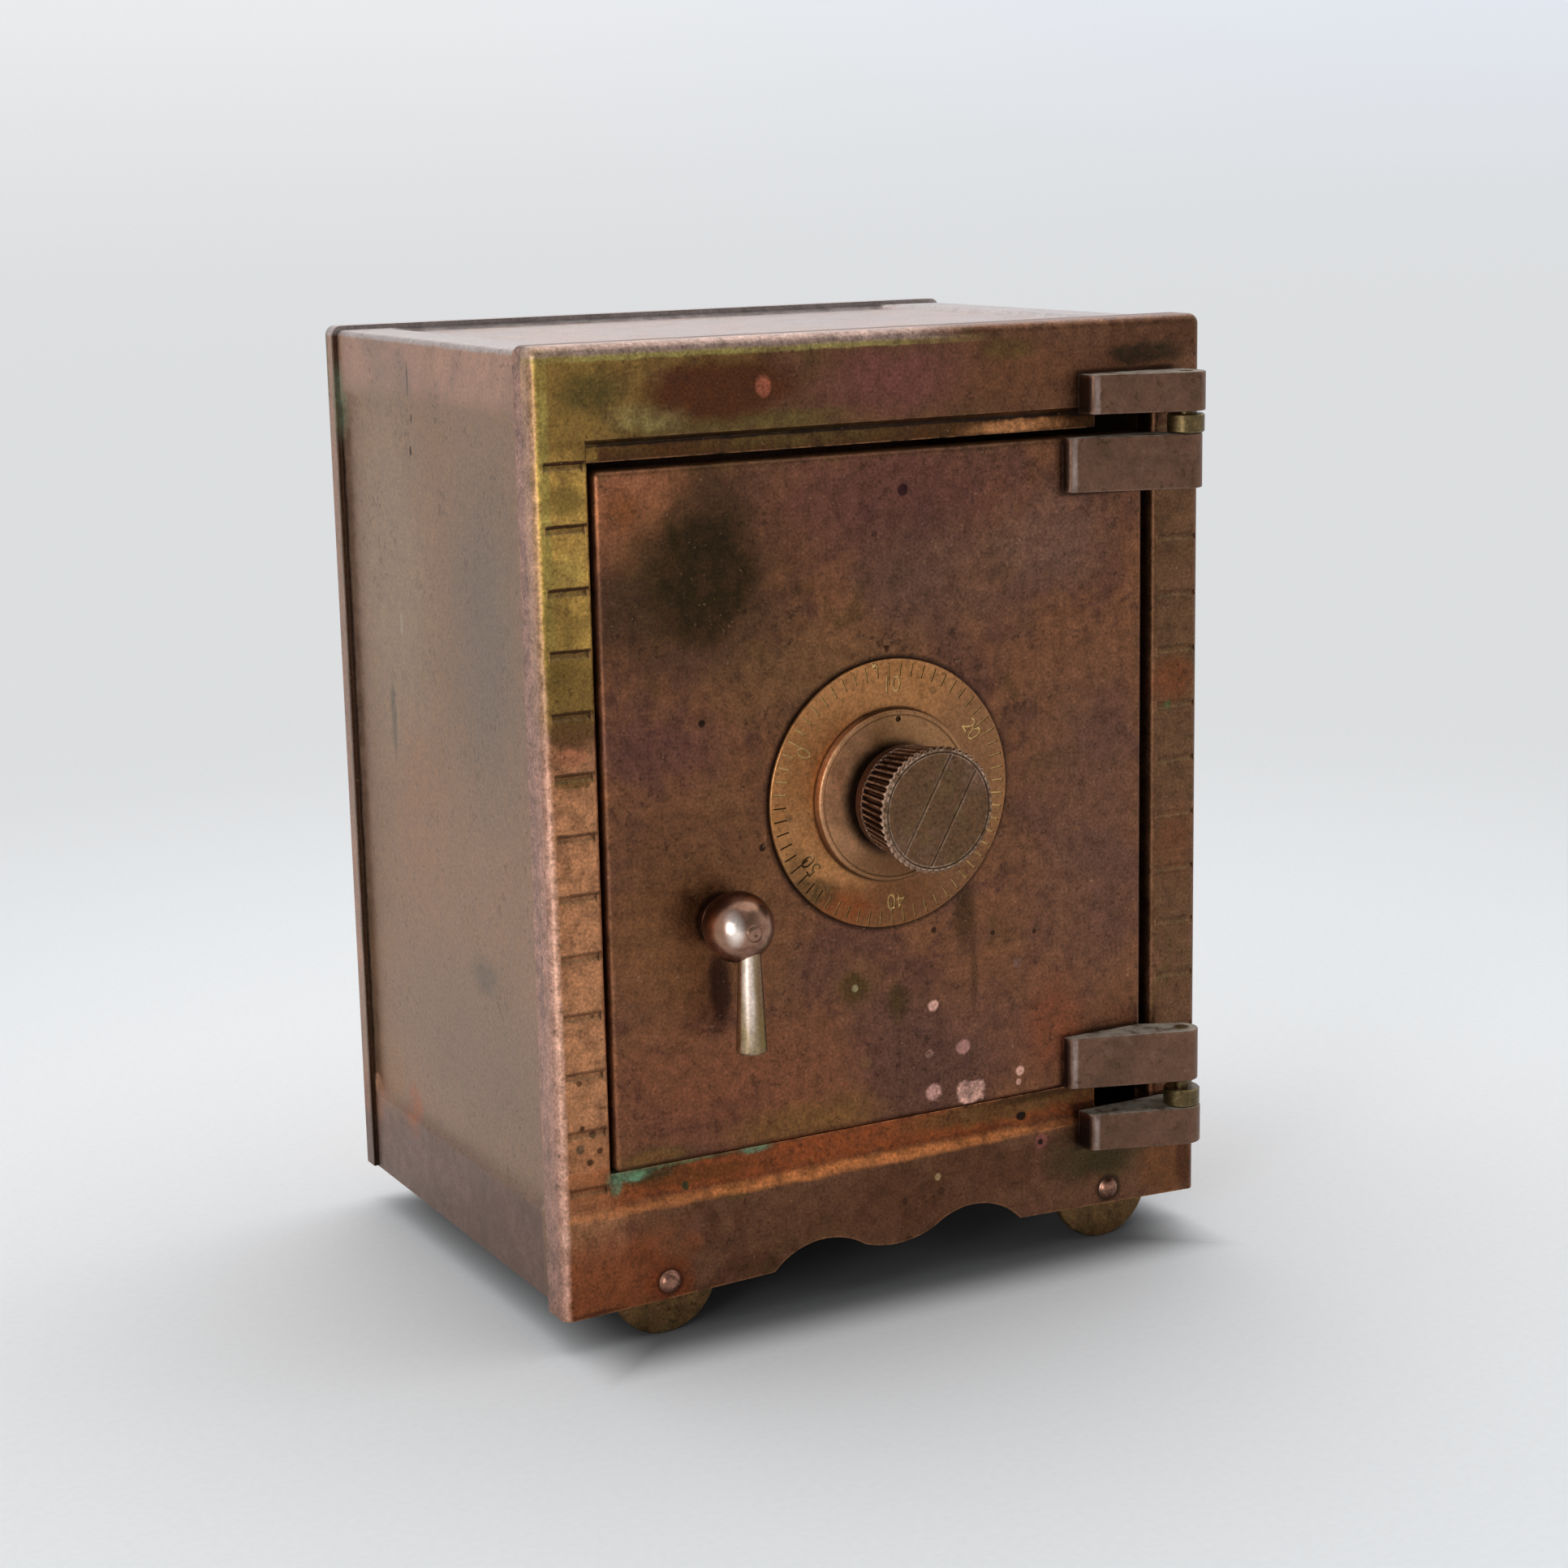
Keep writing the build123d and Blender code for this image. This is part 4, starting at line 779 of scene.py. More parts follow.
# The door's pressed face: darker and more mauve, with an olive-black stain, drops of
# bare copper low on the right and copper-brown clouds between.
DOOR_PATINA = Patina(
    "Aged copper wash on pressed brass, door", marks_end=-30.9,
    ground="#805338", seed=3.0, dent_mm=0.06, wear_and_highlight="#A9765C", fleck_share=0.38,
    blooms=(
        Bloom("#603E33", 20.0, 0.46, 0.60, 0.7, 0.2),
        Bloom("#765038", 14.0, 0.52, 0.64, 0.6, 1.3),
        Bloom("#55401F", 10.0, 0.58, 0.68, 0.45, 2.2),
        Bloom("#4C302A", 5.0, 0.56, 0.66, 0.45, 3.1, 1.2),
    ),
    marks=(
        cloud(-37.0, 111.0, 8.0, 7.0, "#C37B53", 0.75),
        cloud(0.0, 111.0, 17.0, 7.0, "#603937", 0.65),
        cloud(4.0, 103.0, 10.0, 7.0, "#5E3E36", 0.6),
        cloud(12.0, 99.0, 14.0, 7.0, "#735340", 0.5),
        cloud(26.0, 103.5, 8.0, 6.0, "#78584A", 0.6),
        cloud(-12.0, 88.5, 14.0, 6.0, "#7F5B38", 0.6),
        cloud(-34.0, 80.0, 8.0, 5.0, "#5F3B38", 0.65),
        cloud(-31.0, 60.0, 12.0, 14.0, "#7B522F", 0.6),
        cloud(-25.0, 34.0, 18.0, 8.0, "#875037", 0.6),
        cloud(32.0, 62.0, 10.0, 22.0, "#6C4C3D", 0.6),
        cloud(25.5, 33.5, 6.0, 7.5, "#7A4935", 0.7, 0.7, 0.3),
        cloud(8.0, 34.0, 14.0, 8.0, "#60423A", 0.5),
        cloud(-14.0, 27.0, 11.0, 2.6, "#7E5A2A", 0.6, 0.6, 0.3, 2.0),
        cloud(-37.0, 25.6, 5.0, 1.4, "#4E4420", 0.7, 0.5, 0.4, 1.0),
        cloud(-30.0, 101.5, 15.0, 12.5, "#4A331F", 0.7, 0.6, 0.2, 6.0),
        cloud(-26.5, 111.5, 5.0, 6.5, "#3E2C1C", 0.7, 0.6, 0.2, 3.0),
        cloud(-38.5, 99.0, 5.5, 5.0, "#46301F", 0.55, 0.6, 0.2, 3.0),
        # Painted shade round the dial plate and the handle's seat.
        Mark(SEAM_SHADE, (-0.7, 0.0, 70.8), (19.0, BROAD, 19.0), 0.85, 0.025, 0.0, 0.12),
        Mark(SEAM_SHADE, (-26.55, 0.0, 56.85), (3.9, BROAD, 3.9), 0.85, 0.1, 0.0, 0.2),
        # Painted shade round the door's hinge blocks.
        *(Mark(SEAM_SHADE, (36.5, 0.0, z), (9.6, BROAD, 4.3), 0.8, 0.07, 0.2, 0.3, Form.SQUARE)
          for z in (28.1, 113.3)),
        # Painted shadow of the lever, and fainter of the ball, on the door.
        cloud(-27.0, 47.6, 1.7, 5.4, "#200806", 0.85, 0.45, 0.1, 0.6),
        cloud(-31.5, 57.5, 2.2, 4.0, "#2A120A", 0.3, 0.6, 0.1, 0.8),
        cloud(26.0, 34.0, 4.0, 5.5, "#8A4C2E", 0.6, 0.6, 0.35, 2.0),
        cloud(-37.6, 25.8, 4.5, 0.7, "#8A5E34", 0.6, 0.5, 0.3, 0.6),
        cloud(-33.5, 105.0, 5.0, 8.0, "#4A3A1A", 0.5, 0.6, 0.6, 4.0),
        cloud(-27.8, 102.6, 7.4, 8.8, "#2B1F0B", 0.95, 0.35, 0.45, 4.0),
        cloud(-39.3, 111.9, 2.3, 2.3, "#75431B", 0.6, 0.6, 0.3, 1.0),
        cloud(11.3, 52.5, 1.7, 4.5, "#35260F", 0.75, 0.5, 0.4, 1.2),
        cloud(12.7, 44.0, 0.5, 5.5, "#3C2A1A", 0.6, 0.5, 0.5, 0.8),
        cloud(-6.5, 44.4, 2.2, 2.1, "#463714", 0.8, 0.5, 0.4, 1.2),
        spot(-6.4, 44.3, 0.5, "#A89A70", 0.8),
        cloud(0.6, 41.2, 1.4, 2.6, "#463714", 0.75, 0.5, 0.5, 1.4),
        Mark(SALMON, (12.2, 0.0, 26.5), (2.1, BROAD, 1.5), 0.95, 0.25, 0.3, 2.2, dull=True),
        spot(6.0, 40.0, 0.75, SALMON),
        spot(10.8, 33.2, 1.0, "#C48E80"),
        spot(5.3, 33.1, 0.6, "#B08070", 0.75),
        spot(5.9, 27.4, 1.2, "#CE9A8C"),
        spot(20.2, 28.2, 0.7, SALMON, 0.8),
        spot(20.0, 26.6, 0.45, SALMON, 0.7),
        spot(19.9, 44.0, 0.7, "#8A665A", 0.6),
        spot(-4.8, 33.4, 0.8, "#8A6440", 0.5),
        spot(2.2, 111.8, 0.8, "#30121A"),
        spot(-28.7, 83.4, 0.5, PIT_AND_GAP_SHADE),
        spot(-20.2, 65.7, 0.5, PIT_AND_GAP_SHADE),
        spot(6.2, 50.7, 0.45, PIT_AND_GAP_SHADE, 0.8),
        spot(15.8, 49.0, 0.35, PIT_AND_GAP_SHADE, 0.8),
        spot(22.7, 48.2, 0.35, PIT_AND_GAP_SHADE, 0.8),
        spot(-2.4, 106.2, 0.5, "#38231A", 0.6),
        spot(-22.0, 97.5, 0.4, PIT_AND_GAP_SHADE, 0.6),
        Mark("#5E4A2A", (0.0, -31.3, 118.0), (BROAD, 3.0, 1.6), 0.4, 0.4, 0.3, 1.0),
    ),
)

# Turned brass dial: golden brown, dull and darker where it nears the door's colour, with
# rust and olive dirt at its lower left.
DIAL_PATINA = Patina(
    "Toned turned brass, dial",
    ground="#B87F4E", seed=4.0, wear_and_highlight="#C08C54", wear_and_highlight_share=0.2, fleck_share=0.2, grain_share=0.28,
    relief_mm=0.02, speck_share=0.4,
    blooms=(
        Bloom("#9B6636", 9.0, 0.50, 0.64, 0.6, 0.7),
        Bloom("#B58553", 6.0, 0.56, 0.68, 0.5, 1.6),
    ),
    marks=(
        cloud(12.0, 74.0, 7.0, 12.0, "#8B6142", 0.85, 0.6, 0.1, 2.0),
        cloud(8.0, 58.0, 12.0, 7.0, "#6E4A34", 0.8, 0.6, 0.1, 2.0),
        cloud(-2.0, 55.0, 9.0, 4.0, "#73472A", 0.8, 0.6, 0.2, 2.0),
        cloud(-8.5, 56.0, 4.5, 2.6, "#86411C", 0.7, 0.5, 0.3, 1.5),
        cloud(-13.0, 58.5, 4.0, 2.2, "#3A2C14", 0.85, 0.4, 0.5, 1.5),
        cloud(-15.5, 62.0, 1.8, 3.0, "#4A3820", 0.6, 0.5, 0.5, 1.0),
        # Painted shade round the cap's foot and on the plate's edge.
        Mark(SEAM_SHADE, (-0.7, 0.0, 70.8), (12.05, BROAD, 12.05), 0.8, 0.02, 0.0, 0.08),
        Mark(SEAM_SHADE, (0.0, -31.45, 0.0), (BROAD, 0.38, BROAD), 0.7, 0.1, 0.0, 0.0, Form.SQUARE),
    ),
)

# The cap is the same brass, with a painted shadow nearly black round the root of the knob and
# painted light on its left.
CAP_PATINA = Patina(
    "Toned turned brass, dial cap",
    ground="#A67850", seed=4.5, wear_and_highlight="#B98A5C", fleck_share=0.16, grain_share=0.22,
    relief_mm=0.015, speck_share=0.35,
    blooms=(Bloom("#8F633D", 7.0, 0.50, 0.64, 0.6, 0.9),),
    marks=(
        cloud(3.0, 63.0, 10.0, 6.0, "#5C3A23", 0.85, 0.6, 0.1, 1.5),
        # Painted shade on the cap's edge.
        Mark(SEAM_SHADE, (0.0, -32.3, 0.0), (BROAD, 0.85, BROAD), 0.75, 0.1, 0.0, 0.0, Form.SQUARE),
        # Painted light on the left of the cap.
        cloud(-9.0, 74.0, 4.0, 9.0, "#EEB183", 0.8, 0.6, 0.1, 1.0),
        # Painted shadow round the root of the knob.
        cloud(-0.9, 70.6, 7.7, 7.7, "#1E0E07", 0.95, 0.12, 0.0, 0.3),
    ),
)

# Bare metal at the bottom of the stamped strokes and numbers, brighter than the plate.
STROKE_BRASS = Patina(
    "Bright brass in the dial's strokes",
    ground="#D8B274", seed=4.7, wear_and_highlight_share=0.0, nook_share=0.0,
    marks=(
        area(-17.5, 64.0, 4.2, 8.0, "#35200F", 0.95, 0.15, 0.0, 0.6),
        cloud(-12.5, 60.5, 3.0, 3.0, "#35200F", 0.9, 0.3, 0.3, 0.6),
        cloud(9.0, 58.0, 14.0, 8.0, "#B08C58", 0.7, 0.5, 0.0, 1.0),
    ),
)

# Old wax packed into the fine lines that are cut across the knob's face.
LINE_WAX = Patina(
    "Dark wax in the knob's cut lines",
    ground="#24150E", seed=5.5, metallic=0.2, wear_and_highlight_share=0.0, nook_share=0.0,
    glint_share=0.0,
)

# Knurled knob: the same wash, nearly black in its flutes, and bright on its beads from wear and a
# painted highlight that is strongest on the left.
KNOB_PATINA = Patina(
    "Aged copper wash on turned brass, knob",
    ground="#6A4C34", seed=5.0, wear_and_highlight="#F0D2B8", wear_and_highlight_share=0.95, wear_and_highlight_mm=0.25,
    nook_colour="#1A0A06", nook_share=0.8, nook_mm=1.1, fleck_share=0.14,
    blooms=(
        Bloom("#7A5A4A", 5.0, 0.50, 0.64, 0.5, 0.5),
        Bloom("#6C5636", 4.0, 0.54, 0.66, 0.5, 1.5),
    ),
    marks=(
        Mark("#42241A", (0.0, -37.2, 0.0), (BROAD, 6.1, BROAD), 0.85, 0.12, 0.1, 0.0),
        # Painted highlight on the beaded rim, on its left.
        Mark("#D9B49A", (-9.0, -43.72, 68.0), (11.0, 0.5, 13.0), 0.9, 0.25, 0.1, 0.0, dull=True),
    ),
)

# Polished by fingers: smoother, browner and brighter than the sheet.
BALL_PATINA = Patina(
    "Hand-polished brass, handle ball",
    ground="#9A7460", seed=6.0, metallic=0.95, roughness=(0.20, 0.30), relief_mm=0.002,
    fleck_share=0.12, grain_share=0.08, wear_and_highlight_share=0.2, speck_share=0.3, glint_share=0.2,
    blooms=(
        Bloom("#A98868", 4.0, 0.50, 0.64, 0.5, 0.5),
        Bloom("#6B4638", 3.0, 0.54, 0.66, 0.5, 1.5),
    ),
    marks=(
        # Painted shade on the ball's upper left, top and underside.
        Mark("#3E1E10", (-29.6, -33.9, 59.4), (3.8, 3.8, 3.8), 0.9, 0.45, 0.1, 0.4),
        Mark("#4A2616", (-24.5, -35.0, 61.3), (4.0, 3.0, 1.6), 0.85, 0.5, 0.1, 0.3),
        Mark("#2E150C", (-26.5, -35.4, 52.2), (4.0, 4.0, 1.4), 0.85, 0.5, 0.1, 0.3),
        # Painted highlight.
        Mark("#FFEFE4", (-29.0, -40.0, 57.7), (0.9, 1.6, 1.9), 0.9, 0.7, 0.0, 0.1),
    ),
)

# The lever shows more of its bare brass, with greenish toning low on the right.
LEVER_PATINA = Patina(
    "Hand-polished brass, handle lever",
    ground="#A08A6E", seed=7.0, metallic=0.95, roughness=(0.24, 0.34), relief_mm=0.006,
    fleck_share=0.2, wear_and_highlight_share=0.3, grain_share=0.2,
    blooms=(Bloom("#A08A60", 3.0, 0.48, 0.62, 0.6, 0.6),),
    marks=(
        # Painted highlight down the lever's left, and painted shade right of its middle.
        Mark("#F6E0D2", (-27.0, 0.0, 49.5), (0.55, BROAD, 6.0), 0.9, 0.6, 0.2, 0.15),
        Mark("#75583E", (-25.2, 0.0, 48.0), (0.9, BROAD, 9.0), 0.9, 0.45, 0.2, 0.2),
        cloud(-24.8, 43.0, 1.2, 3.5, "#7C6A34", 0.7, 0.6, 0.5, 0.5),
    ),
)

# Left ends of the hinge blocks: place across the front, middle height and half height.
HINGE_ENDS = ((30.4, 122.9, 2.6), (27.6, 113.3, 3.7), (27.6, 28.1, 3.7), (30.4, 17.8, 2.6))

# Cast blocks with a satin mauve-brown skin, and dust lying on their tops.
HINGE_PATINA = Patina(
    "Satin copper wash on brass, hinge blocks",
    ground="#715240", seed=8.0, roughness=(0.34, 0.46), dust_share=0.9, dust="#9C9384",
    wear_and_highlight="#B0968A", wear_and_highlight_share=0.55, speck_share=0.4, fleck_share=0.2, grain_share=0.16,
    relief_mm=0.015,
    blooms=(
        Bloom("#604638", 6.0, 0.50, 0.64, 0.6, 0.4),
        Bloom("#7C5E4E", 5.0, 0.55, 0.66, 0.5, 1.4),
    ),
    marks=(
        # Painted highlight on the rounded left corners of the blocks.
        *(Mark("#B7A39A", (x + 0.9, 0.0, z), (0.32, BROAD, high), 0.7, 0.8, 0.2, 0.1,
               Form.SQUARE) for x, z, high in HINGE_ENDS),
        # Painted shade on the blocks' left end faces.
        *(Mark("#1C100B", (x, -32.5, z), (0.3, 2.9, high), 0.85, 0.3, 0.1, 0.2, Form.SQUARE)
          for x, z, high in HINGE_ENDS),
    ),
)

# Bare brass that has toned olive.
WASHER_BRASS = Patina(
    "Toned bare brass, hinge washers",
    ground="#5F5034", seed=9.0, roughness=(0.30, 0.42), wear_and_highlight="#C9AE74",
    blooms=(Bloom("#6B5838", 3.0, 0.48, 0.62, 0.7, 0.4),),
)

# Blackened brass discs, rubbed olive on their rims.
WHEEL_PATINA = Patina(
    "Blackened brass, wheels",
    ground="#785A37", seed=10.0, roughness=(0.42, 0.56), wear_and_highlight="#8A7450",
    nook_share=0.3, speck_share=0.6,
    blooms=(
        Bloom("#5E5436", 5.0, 0.50, 0.64, 0.6, 0.4),
        Bloom("#3E2C20", 4.0, 0.54, 0.66, 0.6, 1.4),
    ),
)

# Domed heads of the axle rivets, copper-washed and rubbed.
RIVET_PATINA = Patina(
    "Rubbed copper wash, axle rivets",
    ground="#A57863", seed=10.5, roughness=(0.30, 0.42), wear_and_highlight="#B08C78",
    blooms=(Bloom("#6A4434", 1.5, 0.50, 0.64, 0.6, 0.4),),
)

# Dull steel of the lock parts, which only show with the door open.
LOCK_STEEL = Patina(
    "Dull cold-rolled steel, lock work",
    ground="#83817C", seed=11.0, metallic=1.0, roughness=(0.32, 0.46), wear_and_highlight="#B5B2AC",
    nook_colour="#2A211A", speck="#4A3626", glint="#A8A6A0",
    blooms=(
        Bloom("#6F6C66", 9.0, 0.48, 0.62, 0.6, 0.4, stretch=(1.0, 1.0, 0.25)),
        Bloom("#7A6450", 6.0, 0.60, 0.70, 0.5, 1.4),
    ),
)


# ---------------------------------------------------------------- mesh work
FRONT_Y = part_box("front_frame")[0].y / MM
WELD_MM = 0.002               # corners nearer than this are one corner


class Axis(Enum):
    """Direction of a turned piece's axis."""

    DEPTH = (0.0, 1.0, 0.0)
    HEIGHT = (0.0, 0.0, 1.0)


def at(x: float, y: float, z: float) -> Vector:
    """A place in millimetres, with y measured back from the frame's face, in metres."""
    return Vector((x, FRONT_Y + y, z)) * MM


def spread(low: float, high: float, count: int) -> list[float]:
    """count numbers evenly spread from low to high."""
    return [low + (high - low) * i / (count - 1) for i in range(count)]


def cad_copy(node: str) -> bmesh.types.BMesh:
    """A merged copy of a CAD node.

    Args:
        node: Name of the node.

    Returns:
        The copy, as a new bmesh.
    """
    mesh = bmesh.new()
    mesh.from_mesh(NODES[node].data)
    bmesh.ops.remove_doubles(mesh, verts=mesh.verts, dist=WELD_MM * MM)
    return mesh


def turned(profile: list[tuple[float, float]], x: float, across: float,
           axis: Axis = Axis.DEPTH, steps: int = 96) -> bmesh.types.BMesh:
    """A turned solid.

    Args:
        profile: Radius and place along the axis of each corner, in millimetres.
        x: Place of the axis across the front.
        across: Height of an axis that runs in depth, or depth of an upright one.
        axis: Direction of the axis.
        steps: Facets round the piece.

    Returns:
        The solid, as a new bmesh.
    """
    mesh = bmesh.new()
    upright = axis is Axis.HEIGHT
    corners = [mesh.verts.new(at(x + r, across, h) if upright else at(x + r, h, across))
               for r, h in profile]
    line = [mesh.edges.new(pair) for pair in zip(corners, corners[1:])]
    centre = at(x, across, 0) if upright else at(x, 0, across)
    bmesh.ops.spin(mesh, geom=corners + line, cent=centre, axis=axis.value, dvec=(0, 0, 0),
                   angle=math.tau, steps=steps, use_merge=True, use_duplicate=False)
    bmesh.ops.remove_doubles(mesh, verts=mesh.verts, dist=0.001 * MM)
    bmesh.ops.recalc_face_normals(mesh, faces=mesh.faces)
    return mesh


def install(mesh: bmesh.types.BMesh, name: str, body: str, finish: bpy.types.Material,
            stands_for: tuple[str, ...] = (), sharp: float = 34.0,
            weighted: bool = False) -> bpy.types.Object:
    """Make a finished piece out of a bmesh and hang it on its CAD body.

    Args:
        mesh: The piece's shape, which is used up.
        name: Name of the piece.
        body: CAD body that it moves with.
        finish: Its material.
        stands_for: CAD nodes that it replaces.
        sharp: Angle above which an edge stays sharp in the shading, in degrees.
        weighted: Whether the shading follows the large faces.

    Returns:
        The new object.
    """
    data = bpy.data.meshes.new(name)
    mesh.to_mesh(data)
    mesh.free()
    data.shade_smooth()
    data.set_sharp_from_angle(angle=math.radians(sharp))
    data.materials.append(finish)
    piece = bpy.data.objects.new(name, data)
    bpy.context.scene.collection.objects.link(piece)
    if weighted:
        shade = piece.modifiers.new("Even shading", "WEIGHTED_NORMAL")
        shade.keep_sharp = True
    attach(piece, body)
    if stands_for:
        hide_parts(*stands_for)
    LOG.info("%s on %s: %d faces", name, body, len(data.polygons))
    return piece


def carve(piece: bpy.types.Object, cutters: list[bpy.types.Object]) -> None:
    """Cut the cutters out of a piece for good, and remove them.

    Args:
        piece: The piece to carve.
        cutters: Closed objects to cut away.
    """
    for cutter in cutters:
        change = piece.modifiers.new("Carve", "BOOLEAN")
        change.operation, change.solver, change.object = "DIFFERENCE", "EXACT", cutter
        view = bpy.context.evaluated_depsgraph_get()
        carved = bpy.data.meshes.new_from_object(piece.evaluated_get(view))
        piece.modifiers.remove(change)
        piece.data = carved
        bpy.data.objects.remove(cutter)


def loose(mesh: bmesh.types.BMesh, name: str) -> bpy.types.Object:
    """A bare object for use as a cutter."""
    data = bpy.data.meshes.new(name)
    mesh.to_mesh(data)
    mesh.free()
    thing = bpy.data.objects.new(name, data)
    bpy.context.scene.collection.objects.link(thing)
    return thing


# ---------------------------------------------------------------- sub-assemblies
def dress(node: str, finish: bpy.types.Material) -> None:
    """Give a CAD node its finish."""
    data = NODES[node].data
    data.materials.clear()
    data.materials.append(finish)
    LOG.info("%s dressed in %s", node, finish.name)


def skin(node: str, name: str, body: str, finish: bpy.types.Material) -> None:
    """Replace a CAD node by a merged copy whose flat faces and roundings shade evenly.

    Args:
        node: The CAD node.
        name: Name of the new piece.
        body: CAD body that it moves with.
        finish: Its material.
    """
    install(cad_copy(node), name, body, finish, (node,), sharp=20.0, weighted=True)


@dataclass
class Case:
    """Pressed front frame, body sheet, back, floor and fixed hinge halves."""

    body: str = "case"

    def build(self) -> None:
        """Dress every fixed part of the case."""
        frame_finish = FRAME_PATINA.build()
        body_finish = BODY_PATINA.build()
        hinge_finish = HINGE_PATINA.build()
        brass = WASHER_BRASS.build()
        skin("front_frame", "pressed_front_frame", self.body, frame_finish)
        skin("body_wrap", "bent_body_sheet", self.body, body_finish)
        skin("back_panel", "pressed_back_tray", self.body, body_finish)
        for node in ("floor_plate", "door_stops", "bolt_keeper"):
            dress(node, body_finish)
        for node in ("lower_frame_hinge_block", "upper_frame_hinge_block"):
            skin(node, "satin_" + node, self.body, hinge_finish)
        skin("hinge_washers", "turned_hinge_washers", self.body, brass)
        for node in ("hinge_pins", "frame_block_rivets", "wheel_spacers"):
            dress(node, brass)


@dataclass
class RollingGear:
    """Four plain disc wheels on shouldered rivets."""

    places: tuple[str, ...] = ("front_left", "front_right", "rear_left", "rear_right")

    def build(self) -> None:
        """Dress the wheels and their rivets."""
        finish = WHEEL_PATINA.build()
        for place in self.places:
            skin("wheel_" + place, "disc_wheel_" + place, place + "_wheel", finish)
        skin("axle_rivets", "domed_axle_rivets", "case", RIVET_PATINA.build())


@dataclass
class Door:
    """Pressed door panel with its hinge halves, bearings and lock cover."""

    body: str = "door"

    def build(self) -> None:
        """Dress every part that only swings."""
        door_finish = DOOR_PATINA.build()
        hinge_finish = HINGE_PATINA.build()
        brass = WASHER_BRASS.build()
        steel = LOCK_STEEL.build()
        skin("door_panel", "pressed_door_panel", self.body, door_finish)
        for node in ("lower_door_hinge_block", "upper_door_hinge_block"):
            skin(node, "satin_" + node, self.body, hinge_finish)
        skin("lock_cover", "pressed_lock_cover", self.body, BODY_PATINA.build())
        for node in ("door_block_rivets", "dial_bushing", "handle_bushing", "bolt_guide_left",
                     "bolt_guide_right"):
            dress(node, brass)
        for node in ("cover_studs", "cover_nuts", "lock_bolt"):
            dress(node, steel)


